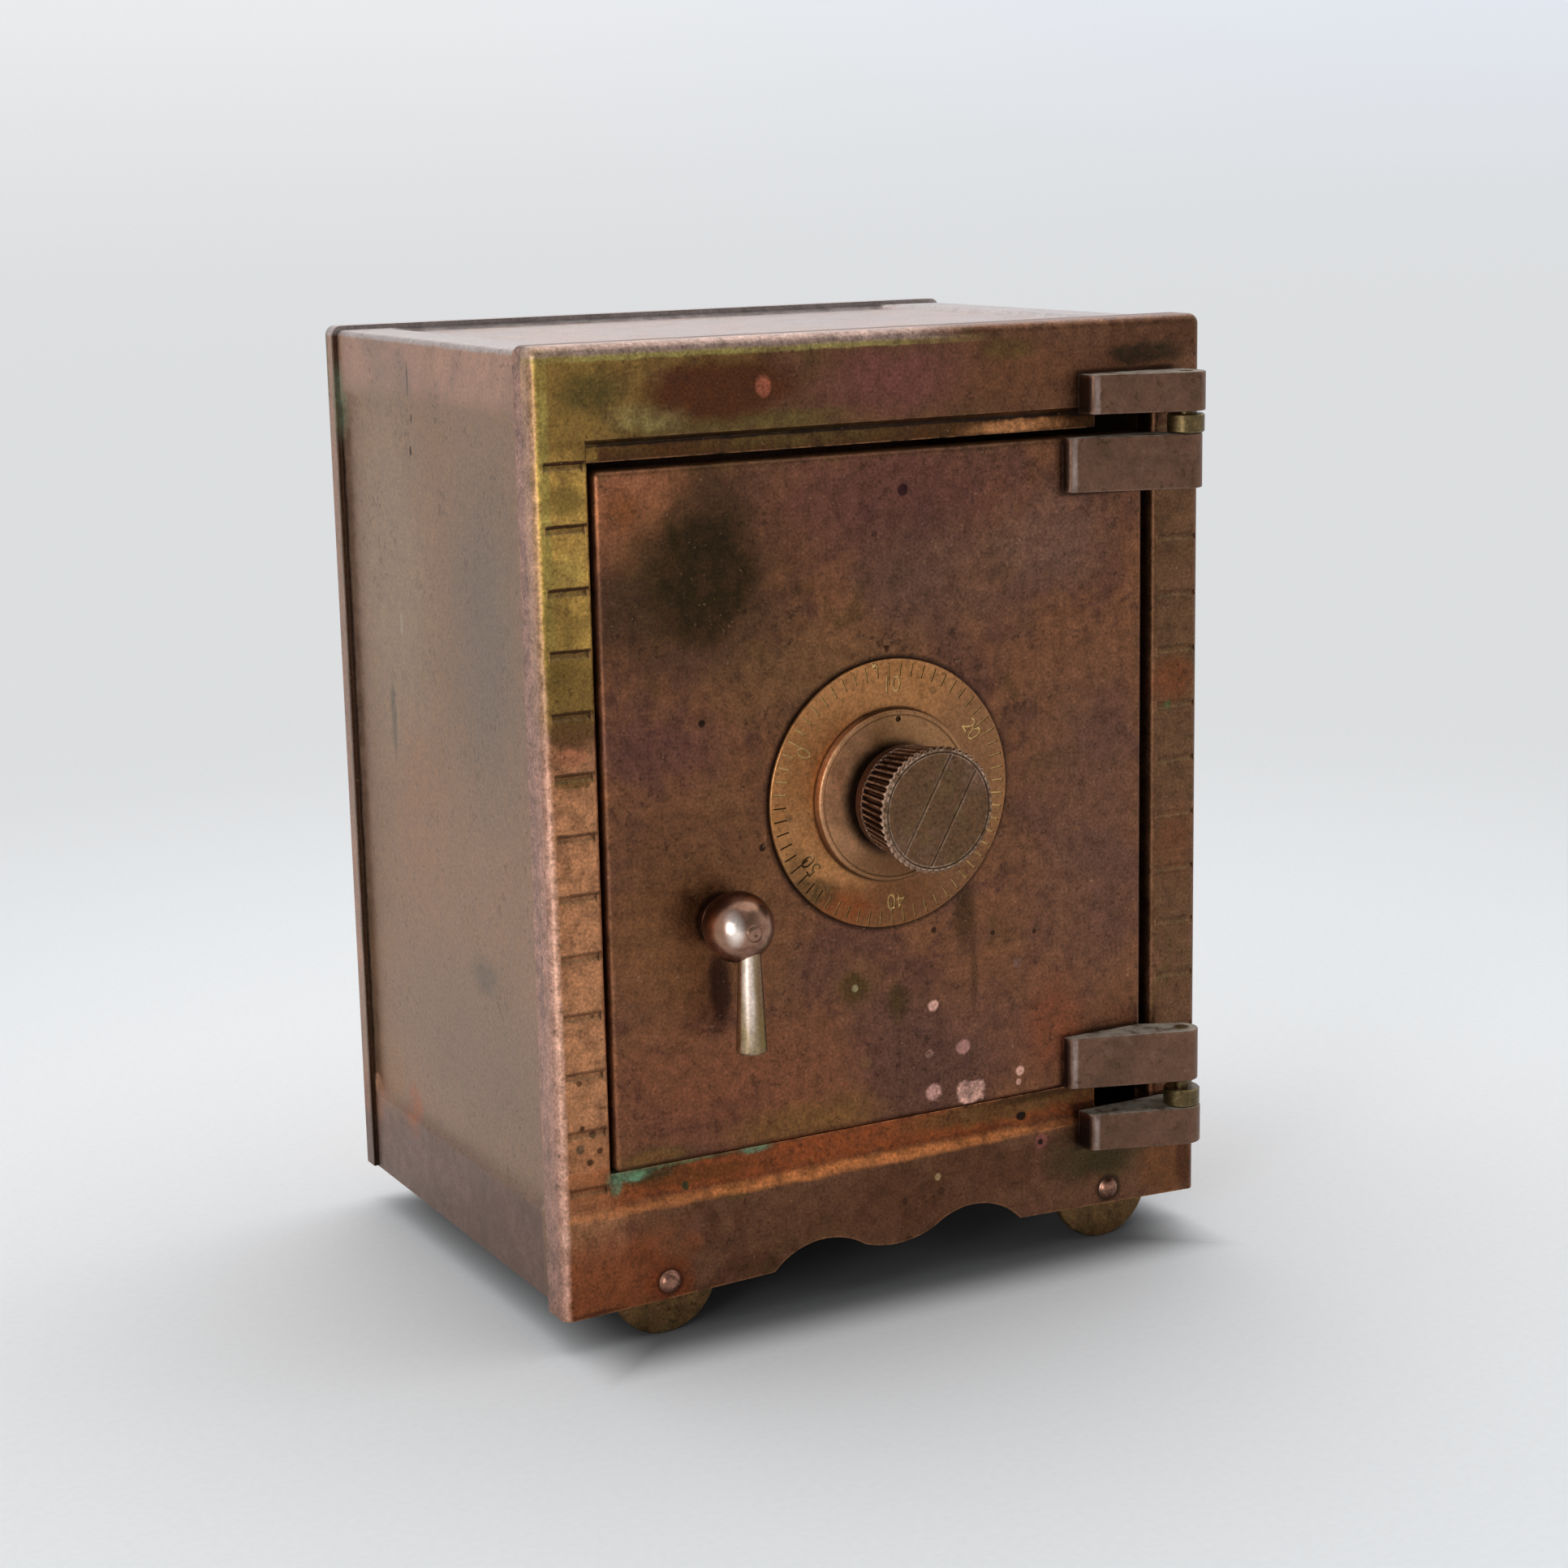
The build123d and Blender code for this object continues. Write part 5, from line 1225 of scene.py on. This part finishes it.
@dataclass
class Dial:
    """Engraved plate, raised cap and fluted knob on one spindle.

    Numbers are digits with their turn in degrees; number_width narrows them, and
    digit_share is the height of a digit as a share of the font's size. The lines across
    the knob's face stand line_offsets from its centre and lean by line_lean degrees. A
    face that lies between the depths of cut_floor below a flat is the bottom of a cut.
    """

    x: float = -0.7
    z: float = 70.8
    plate_front: float = -0.9
    cap_front: float = -2.3
    cap_radius: float = 11.8
    numbers: tuple[tuple[str, float], ...] = (("10", 1.5), ("20", 60.0), ("30", 119.0),
                                              ("40", 177.5), ("50", 236.5), ("0", 298.0))
    number_radius: float = 14.9
    number_height: float = 2.35
    number_width: float = 0.9
    digit_share: float = 0.72
    cut: float = 0.12
    divided_rim: float = 18.2
    plate_hole: tuple[float, float] = (-2.9, 88.6)
    cap_hole: tuple[float, float] = (-0.2, 81.3)
    hole_radius: float = 0.42
    hole_depth: float = 0.25
    cut_floor: tuple[float, float] = (0.012, 0.3)
    bore: float = 2.2
    stem: float = 4.6
    flutes: int = 52
    neck: float = 7.45
    rim: float = 8.5
    knob_back: float = -4.2
    knob_front: float = -13.4
    line_offsets: tuple[float, float] = (-1.89, 2.72)
    line_width: float = 0.3
    line_lean: float = 30.0
    face_rim: float = 0.9

    def build(self) -> None:
        """Make the plate, the cap and the knob, and dress the spindle's parts."""
        finish = DIAL_PATINA.build()
        steel = LOCK_STEEL.build()
        self._plate(finish, STROKE_BRASS.build())
        self._cap(CAP_PATINA.build())
        self._knob(KNOB_PATINA.build())
        for node in ("dial_spindle", "spindle_screw", "gate_cup", "wave_washer"):
            dress(node, steel)

    def _number(self, text: str, turn: float) -> bpy.types.Object:
        """A cutter in the shape of a number, its top to the rim.

        Args:
            text: The digits.
            turn: Place round the dial, in degrees clockwise from the top.

        Returns:
            The cutter.
        """
        curve = bpy.data.curves.new("number", "FONT")
        curve.body = text
        curve.size = self.number_height * MM / self.digit_share
        curve.extrude = self.cut * MM
        curve.align_x, curve.align_y = "CENTER", "CENTER"
        shape = bpy.data.objects.new("number", curve)
        bpy.context.scene.collection.objects.link(shape)
        view = bpy.context.evaluated_depsgraph_get()
        data = bpy.data.meshes.new_from_object(shape.evaluated_get(view))
        bpy.data.objects.remove(shape)
        stand = Matrix.Rotation(math.radians(90), 4, "X")
        narrow = Matrix.Diagonal((self.number_width, 1.0, 1.0, 1.0))
        out = Matrix.Translation((0, 0, self.number_radius * MM))
        round_dial = Matrix.Rotation(math.radians(turn), 4, "Y")
        place = Matrix.Translation(at(self.x, self.plate_front, self.z))
        data.transform(place @ round_dial @ out @ stand @ narrow)
        mesh = bmesh.new()
        mesh.from_mesh(data)
        bmesh.ops.remove_doubles(mesh, verts=mesh.verts, dist=0.001 * MM)
        return loose(mesh, "number")

    def _drill(self, x: float, z: float, face: float) -> bpy.types.Object:
        """A cutter for a small blind hole."""
        radius, depth = self.hole_radius, self.hole_depth
        return loose(turned([(0, face - 1), (radius, face - 1), (radius, face + depth),
                             (0, face + depth)], x, z, steps=24), "drill")

    def _plate(self, finish: bpy.types.Material, stroke: bpy.types.Material) -> None:
        """The divided plate, with its six numbers and one small hole cut in."""
        piece = install(cad_copy("dial_plate"), "divided_dial_plate", "dial", finish,
                        ("dial_plate",))
        cutters = [self._number(text, turn) for text, turn in self.numbers]
        cutters.append(self._drill(*self.plate_hole, self.plate_front))
        carve(piece, cutters)
        finish_mesh(piece, 12.0)
        self._fill(piece, stroke, self.plate_front, self.cap_radius, self.divided_rim)

    def _fill(self, piece: bpy.types.Object, finish: bpy.types.Material, front: float,
              inner: float, outer: float) -> None:
        """Give the cuts in a flat face another finish.

        Args:
            piece: The piece that is cut.
            finish: The finish of the cuts.
            front: Place of the flat face in depth, in millimetres.
            inner: Radius inside which nothing changes.
            outer: Radius outside which nothing changes.
        """
        piece.data.materials.append(finish)
        shallow, deep = self.cut_floor
        centre = at(self.x, front, self.z)
        for face in piece.data.polygons:
            away = (face.center - centre) / MM
            if (shallow < away.y < deep and face.normal.y < -0.1
                    and inner < math.hypot(away.x, away.z) < outer):
                face.material_index = 1

    def _cap(self, finish: bpy.types.Material) -> None:
        """The raised cap, with a fine line turned near its edge."""
        r, y, bore = self.cap_radius, self.cap_front, self.bore
        mesh = turned([(bore, self.plate_front), (r, self.plate_front), (r, y + 0.35),
                       (r - 0.05, y + 0.17), (r - 0.17, y + 0.05), (r - 0.35, y),
                       (r - 0.62, y), (r - 0.68, y + 0.1), (r - 0.8, y + 0.1),
                       (r - 0.86, y), (bore, y), (bore, self.plate_front)],
                      self.x, self.z, steps=160)
        piece = install(mesh, "turned_dial_cap", "dial", finish, ("dial_cap",))
        carve(piece, [self._drill(*self.cap_hole, self.cap_front)])
        finish_mesh(piece, 30.0)

    def _ring(self, mesh: bmesh.types.BMesh, edges: list[bmesh.types.BMEdge], radius: float,
              y: float, depth: float) -> list[bmesh.types.BMEdge]:
        """Draw the knob's open edge on to its next ring.

        Args:
            mesh: The knob so far.
            edges: The ring of open edges.
            radius: The next ring's radius, in millimetres.
            y: Its place in depth.
            depth: How deep its flutes are.

        Returns:
            The new ring of open edges.
        """
        made = bmesh.ops.extrude_edge_only(mesh, edges=edges)["geom"]
        corners = [v for v in made if isinstance(v, bmesh.types.BMVert)]
        self._shape(corners, radius, y, depth)
        return [e for e in made if isinstance(e, bmesh.types.BMEdge)
                and e.verts[0] in corners and e.verts[1] in corners]

    def _shape(self, corners: list[bmesh.types.BMVert], radius: float, y: float,
               depth: float) -> None:
        """Set a ring of corners to a fluted circle."""
        centre = at(self.x, y, self.z)
        for corner in corners:
            away = corner.co - centre
            turn = math.atan2(away.z, away.x)
            wave = 0.5 - 0.5 * math.cos(turn * self.flutes)
            reach = radius - depth * min(1.0, max(0.0, 1.6 * wave - 0.3))
            corner.co = centre + Vector((math.cos(turn), 0, math.sin(turn))) * reach * MM

    def _knob(self, finish: bpy.types.Material) -> None:
        """The knob: plain hub and collar, straight flutes, beaded rim and ringed face."""
        mesh = bmesh.new()
        lay = Matrix.Translation(at(self.x, self.cap_front, self.z)) \
            @ Matrix.Rotation(math.radians(90), 4, "X")
        bmesh.ops.create_circle(mesh, segments=self.flutes * 8, radius=self.stem * MM,
                                matrix=lay)
        ring = list(mesh.edges)
        back, front = self.knob_back, self.knob_front
        neck, rim = self.neck, self.rim
        # Radius, place in depth and depth of the flutes, ring by ring.
        steps = [
            (self.stem, back, 0), (neck - 0.3, back, 0), (neck - 0.05, back - 0.08, 0),
            (neck, back - 0.25, 0), (neck + 0.1, back - 1.7, 0), (neck + 0.1, back - 1.75, 0),
            (neck + 0.1, back - 1.9, 0.45), (rim - 0.2, front + 1.0, 0.5),
            (rim - 0.15, front + 0.9, 0.2), (rim - 0.08, front + 0.78, 0.25),
            (rim, front + 0.55, 0.32), (rim, front + 0.3, 0.32), (rim - 0.1, front + 0.1, 0.24),
            (rim - 0.3, front, 0.08), (rim - 0.45, front, 0), (rim - 0.6, front + 0.02, 0),
            (rim - 0.66, front + 0.14, 0), (rim - 0.8, front + 0.14, 0),
            (rim - 0.86, front + 0.02, 0), (3.0, front + 0.02, 0),
        ]
        for radius, y, depth in steps:
            ring = self._ring(mesh, ring, radius, y, depth)
        bmesh.ops.contextual_create(mesh, geom=ring)
        first = [e for e in mesh.edges if e.is_boundary]
        bmesh.ops.contextual_create(mesh, geom=first)
        bmesh.ops.recalc_face_normals(mesh, faces=mesh.faces)
        piece = install(mesh, "fluted_dial_knob", "dial", finish,
                        ("dial_knob",))
        carve(piece, [self._line(offset) for offset in self.line_offsets])
        finish_mesh(piece, 30.0)
        self._fill(piece, LINE_WAX.build(), self.knob_front + 0.02, 0.0,
                   self.rim - self.face_rim)

    def _line(self, offset: float) -> bpy.types.Object:
        """A cutter for one of the two slanting lines on the knob's face.

        Args:
            offset: Distance of the line from the knob's centre, in millimetres.

        Returns:
            The cutter.
        """
        mesh = bmesh.new()
        half = math.sqrt((self.rim - self.face_rim) ** 2 - offset ** 2)
        width = self.line_width * MM
        bmesh.ops.create_cube(mesh, size=1.0)
        slim = Matrix.Diagonal((width, width, 2 * half * MM, 1))
        diamond = Matrix.Rotation(math.radians(45), 4, "Z") @ slim
        lean = Matrix.Rotation(math.radians(self.line_lean), 4, "Y")
        shift = Matrix.Translation((offset * MM, 0, 0))
        place = Matrix.Translation(at(self.x, self.knob_front, self.z))
        bmesh.ops.transform(mesh, matrix=place @ lean @ shift @ diamond, verts=mesh.verts)
        return loose(mesh, "line")


def finish_mesh(piece: bpy.types.Object, sharp: float) -> None:
    """Clean a carved piece: merge crumbs, close pinholes, and set its shading again.

    Args:
        piece: The carved piece.
        sharp: Angle above which an edge stays sharp in the shading, in degrees.
    """
    mesh = bmesh.new()
    mesh.from_mesh(piece.data)
    bmesh.ops.remove_doubles(mesh, verts=mesh.verts, dist=WELD_MM * MM)
    bmesh.ops.dissolve_degenerate(mesh, edges=mesh.edges, dist=WELD_MM * MM)
    rims = [edge for edge in mesh.edges if edge.is_boundary]
    bmesh.ops.holes_fill(mesh, edges=rims, sides=0)
    bmesh.ops.recalc_face_normals(mesh, faces=mesh.faces)
    mesh.to_mesh(piece.data)
    mesh.free()
    piece.data.shade_smooth()
    piece.data.set_sharp_from_angle(angle=math.radians(sharp))
    shade = piece.modifiers.new("Even shading", "WEIGHTED_NORMAL")
    shade.keep_sharp = True


@dataclass
class Handle:
    """Turned ball and tapered lever that draw the bolt."""

    ring_radius: float = 1.32
    x: float = -26.55
    z: float = 56.85
    ball_radius: float = 4.75
    ball_y: float = -5.2
    seat_y: float = -1.5
    lever_x: float = -26.1
    lever_y: float = -7.3
    lever_foot: float = 40.3
    lever_top: float = 55.2

    def build(self) -> None:
        """Turn the ball, the collar and the lever."""
        ball = BALL_PATINA.build()
        lever = LEVER_PATINA.build()
        self._ball(ball)
        skin("handle_collar", "turned_handle_collar", "handle", ball)
        self._lever(lever)
        for node in ("handle_spindle", "bolt_crank"):
            dress(node, lever)

    def _ball(self, finish: bpy.types.Material) -> None:
        """The ball, with a ring and a dot turned on its pole."""
        radius = self.ball_radius
        seat = math.acos((self.seat_y - self.ball_y) / radius)
        arc = [(radius * math.sin(a), self.ball_y + radius * math.cos(a))
               for a in spread(seat, math.pi - math.asin(self.ring_radius / radius), 40)]
        pole = self.ball_y - radius
        profile = [(0, self.seat_y), *arc, (1.18, pole + 0.15), (1.05, pole + 0.22),
                   (0.92, pole + 0.1), (0.6, pole + 0.03), (0.34, pole + 0.02),
                   (0.24, pole + 0.12), (0, pole + 0.14)]
        install(turned(profile, self.x, self.z), "turned_handle_ball", "handle", finish,
                ("handle_ball",), sharp=50)

    def _lever(self, finish: bpy.types.Material) -> None:
        """The lever, a taper that is thicker at its free end."""
        foot, top = self.lever_foot, self.lever_top
        profile = [(0, foot), (1.75, foot), (1.98, foot + 0.06), (2.1, foot + 0.25),
                   (1.42, top), (0, top)]
        install(turned(profile, self.lever_x, self.lever_y, Axis.HEIGHT), "tapered_lever",
                "handle", finish, ("handle_lever",))


# ---------------------------------------------------------------- the picture
@dataclass
class Studio:
    """Seamless pale sweep, soft lamps and the camera of the picture.

    Places are in metres. The paper is lit by the lamps inside lit_radius, glows evenly beyond
    glow_radius, and carries a painted shadow under the safe, within shaded_half of its middle.
    The room is dimmest in the direction dim_way.
    """

    camera_place: tuple[float, float, float] = (-0.19989, -0.37291, 0.15466)
    yaw: float = 28.20
    pitch: float = -11.76
    roll: float = -1.21
    lens: float = 68.487
    paper: str = "#E8EAEB"
    floor_light: str = "#DCDEE0"
    wall_light: str = "#F2F3F5"
    cool_light: str = "#E6ECF7"
    room_light: str = "#F4F5F7"
    dim_way: tuple[float, float, float] = (-0.05, -0.72, 0.69)
    lit_radius: float = 0.12
    glow_radius: float = 0.42
    shaded_half: tuple[float, float] = (0.052, 0.044)
    sweep_half: float = 4.0
    sweep_front: float = -3.0
    sweep_back: float = 1.6
    sweep_bend: float = 0.6
    sweep_top: float = 4.0

    def build(self) -> None:
        """Set the sweep, the lamps, the world and the camera."""
        self._sweep()
        self._lamp("overhead", place=(0.45, 0.35, 1.3), target=(0, 0, 0.05),
                   size=(2.4, 2.4), power=15.5)
        self._lamp("window", place=(-0.77, -0.53, 0.19), target=(-0.02, -0.03, 0.07),
                   size=(0.24, 0.42), power=2.6)
        self._world()
        self._camera()

    def _sweep(self) -> None:
        """A floor that curves up into a wall."""
        mesh = bmesh.new()
        bend, back, half = self.sweep_bend, self.sweep_back, self.sweep_half
        line = [mesh.verts.new((-half, self.sweep_front, 0))]
        line += [mesh.verts.new((-half, back + bend * math.sin(a), bend - bend * math.cos(a)))
                 for a in spread(0, math.pi / 2, 17)]
        line.append(mesh.verts.new((-half, back + bend, self.sweep_top)))
        edges = [mesh.edges.new(pair) for pair in zip(line, line[1:])]
        made = bmesh.ops.extrude_edge_only(mesh, edges=edges)["geom"]
        moved = [v for v in made if isinstance(v, bmesh.types.BMVert)]
        bmesh.ops.translate(mesh, verts=moved, vec=(2 * half, 0, 0))
        bmesh.ops.recalc_face_normals(mesh, faces=mesh.faces)
        data = bpy.data.meshes.new("paper_sweep")
        mesh.to_mesh(data)
        mesh.free()
        data.shade_smooth()
        data.materials.append(self._paper())
        sweep = bpy.data.objects.new("paper_sweep", data)
        bpy.context.scene.collection.objects.link(sweep)

    def _paper(self) -> bpy.types.Material:
        """Matt pale paper, lit by the lamps near the safe and evenly glowing far from it.

        Returns:
            The sweep's material.
        """
        material = bpy.data.materials.new("Matt pale grey paper, sweep")
        material.use_nodes = True
        tree = material.node_tree
        tree.nodes.clear()
        place = add_node(tree, "ShaderNodeTexCoord").outputs["Object"]
        grain = add_node(tree, "ShaderNodeTexNoise",
                         {"Vector": place, "Scale": 900.0, "Detail": 3.0})
        value = add_node(tree, "ShaderNodeMapRange",
                         {"Value": grain.outputs["Fac"], "From Min": 0.3, "From Max": 0.7,
                          "To Min": 0.985, "To Max": 1.015}).outputs[0]
        split = add_node(tree, "ShaderNodeSeparateXYZ", {0: place}).outputs
        level = add_node(tree, "ShaderNodeMapRange",
                         {"Value": split[2], "From Max": 0.5},
                         interpolation_type="SMOOTHSTEP").outputs[0]
        side = add_node(tree, "ShaderNodeMapRange",
                        {"Value": split[0], "From Min": 0.6, "From Max": 2.0},
                        interpolation_type="SMOOTHSTEP").outputs[0]
        wall = add_node(tree, "ShaderNodeMix",
                        {"Factor": side, 6: linear(self.wall_light), 7: linear(self.cool_light)},
                        data_type="RGBA").outputs[2]
        glow = add_node(tree, "ShaderNodeMix",
                        {"Factor": level, 6: linear(self.floor_light), 7: wall},
                        data_type="RGBA").outputs[2]
        flat = add_node(tree, "ShaderNodeVectorMath", {0: place, 1: (1.0, 1.0, 0.0)},
                        operation="MULTIPLY").outputs[0]
        away = add_node(tree, "ShaderNodeVectorMath", {0: flat},
                        operation="LENGTH").outputs["Value"]
        far = add_node(tree, "ShaderNodeMapRange",
                       {"Value": away, "From Min": self.lit_radius,
                        "From Max": self.glow_radius},
                       interpolation_type="SMOOTHSTEP").outputs[0]
        glow = add_node(tree, "ShaderNodeHueSaturation", {"Color": glow, "Value": value})
        colour = add_node(tree, "ShaderNodeHueSaturation",
                          {"Color": linear(self.paper), "Value": value})
        # Painted shadow under the safe.
        across, deep = self.shaded_half
        flank = add_node(tree, "ShaderNodeVectorMath", {0: place, 1: (1 / across, 1 / deep, 0)},
                         operation="MULTIPLY").outputs[0]
        sides = add_node(tree, "ShaderNodeSeparateXYZ", {0: add_node(
            tree, "ShaderNodeVectorMath", {0: flank}, operation="ABSOLUTE").outputs[0]}).outputs
        wide = add_node(tree, "ShaderNodeMath", {0: sides[0], 1: sides[1]},
                        operation="MAXIMUM").outputs[0]
        shade = add_node(tree, "ShaderNodeMapRange",
                         {"Value": wide, "From Min": 0.7, "From Max": 1.0, "To Min": 0.18},
                         interpolation_type="SMOOTHSTEP").outputs[0]
        colour = add_node(tree, "ShaderNodeHueSaturation",
                          {"Color": colour.outputs[0], "Value": shade})
        lit = add_node(tree, "ShaderNodeBsdfPrincipled",
                       {"Base Color": colour.outputs[0], "Roughness": 0.9,
                        "Specular IOR Level": 0.2})
        even = add_node(tree, "ShaderNodeEmission", {"Color": glow.outputs[0]})
        both = add_node(tree, "ShaderNodeMixShader",
                        {0: far, 1: lit.outputs[0], 2: even.outputs[0]})
        add_node(tree, "ShaderNodeOutputMaterial", {"Surface": both.outputs[0]})
        return material

    @staticmethod
    def _lamp(name: str, place: tuple[float, float, float],
              target: tuple[float, float, float], size: tuple[float, float],
              power: float) -> None:
        """A soft rectangular lamp that looks at a target.

        Args:
            name: Name of the lamp.
            place: Where it hangs, in metres.
            target: What it looks at.
            size: Its width and height, in metres.
            power: Its power in watts.
        """
        data = bpy.data.lights.new(name, "AREA")
        data.shape = "RECTANGLE"
        data.energy = power
        data.size, data.size_y = size
        lamp = bpy.data.objects.new(name, data)
        lamp.location = place
        aim = Vector(target) - Vector(place)
        lamp.rotation_euler = aim.to_track_quat("-Z", "Y").to_euler()
        bpy.context.scene.collection.objects.link(lamp)

    def _world(self) -> None:
        """A pale room that is dimmer high up in front, which gives turned metal its shape."""
        world = bpy.data.worlds.new("Pale room")
        bpy.context.scene.world = world
        world.use_nodes = True
        tree = world.node_tree
        tree.nodes.clear()
        way = add_node(tree, "ShaderNodeTexCoord").outputs["Generated"]
        front = add_node(tree, "ShaderNodeVectorMath", {0: way, 1: self.dim_way},
                         operation="DOT_PRODUCT").outputs["Value"]
        dim = add_node(tree, "ShaderNodeMapRange",
                       {"Value": front, "From Min": 0.3, "From Max": 0.95, "To Min": 0.95,
                        "To Max": 0.28}, interpolation_type="SMOOTHSTEP").outputs[0]
        room = add_node(tree, "ShaderNodeBackground",
                        {"Color": linear(self.room_light), "Strength": dim})
        add_node(tree, "ShaderNodeOutputWorld", {"Surface": room.outputs[0]})

    def _camera(self) -> None:
        """The camera, from its place, its three angles and its lens."""
        yaw, pitch, roll = (math.radians(a) for a in (self.yaw, self.pitch, self.roll))
        forward = Vector((math.sin(yaw) * math.cos(pitch), math.cos(yaw) * math.cos(pitch),
                          math.sin(pitch)))
        level = Vector((math.cos(yaw), -math.sin(yaw), 0))
        upward = level.cross(forward)
        right = math.cos(roll) * level + math.sin(roll) * upward
        above = -math.sin(roll) * level + math.cos(roll) * upward
        data = bpy.data.cameras.new("picture")
        data.sensor_width, data.lens = 36.0, self.lens
        data.clip_start, data.clip_end = 0.01, 20.0
        camera = bpy.data.objects.new("picture", data)
        turn = Matrix((right, above, -forward)).transposed().to_4x4()
        camera.matrix_world = Matrix.Translation(Vector(self.camera_place)) @ turn
        bpy.context.scene.collection.objects.link(camera)
        bpy.context.scene.camera = camera
        bpy.context.scene.view_settings.view_transform = "Standard"


def main() -> None:
    """Build the safe's sub-assemblies and the picture round them."""
    logging.basicConfig(level=logging.INFO, format="%(name)s %(message)s")
    for assembly in (Case(), RollingGear(), Door(), Dial(), Handle(), Studio()):
        assembly.build()
        LOG.info("%s done", type(assembly).__name__)


if __name__ == "__main__":
    main()
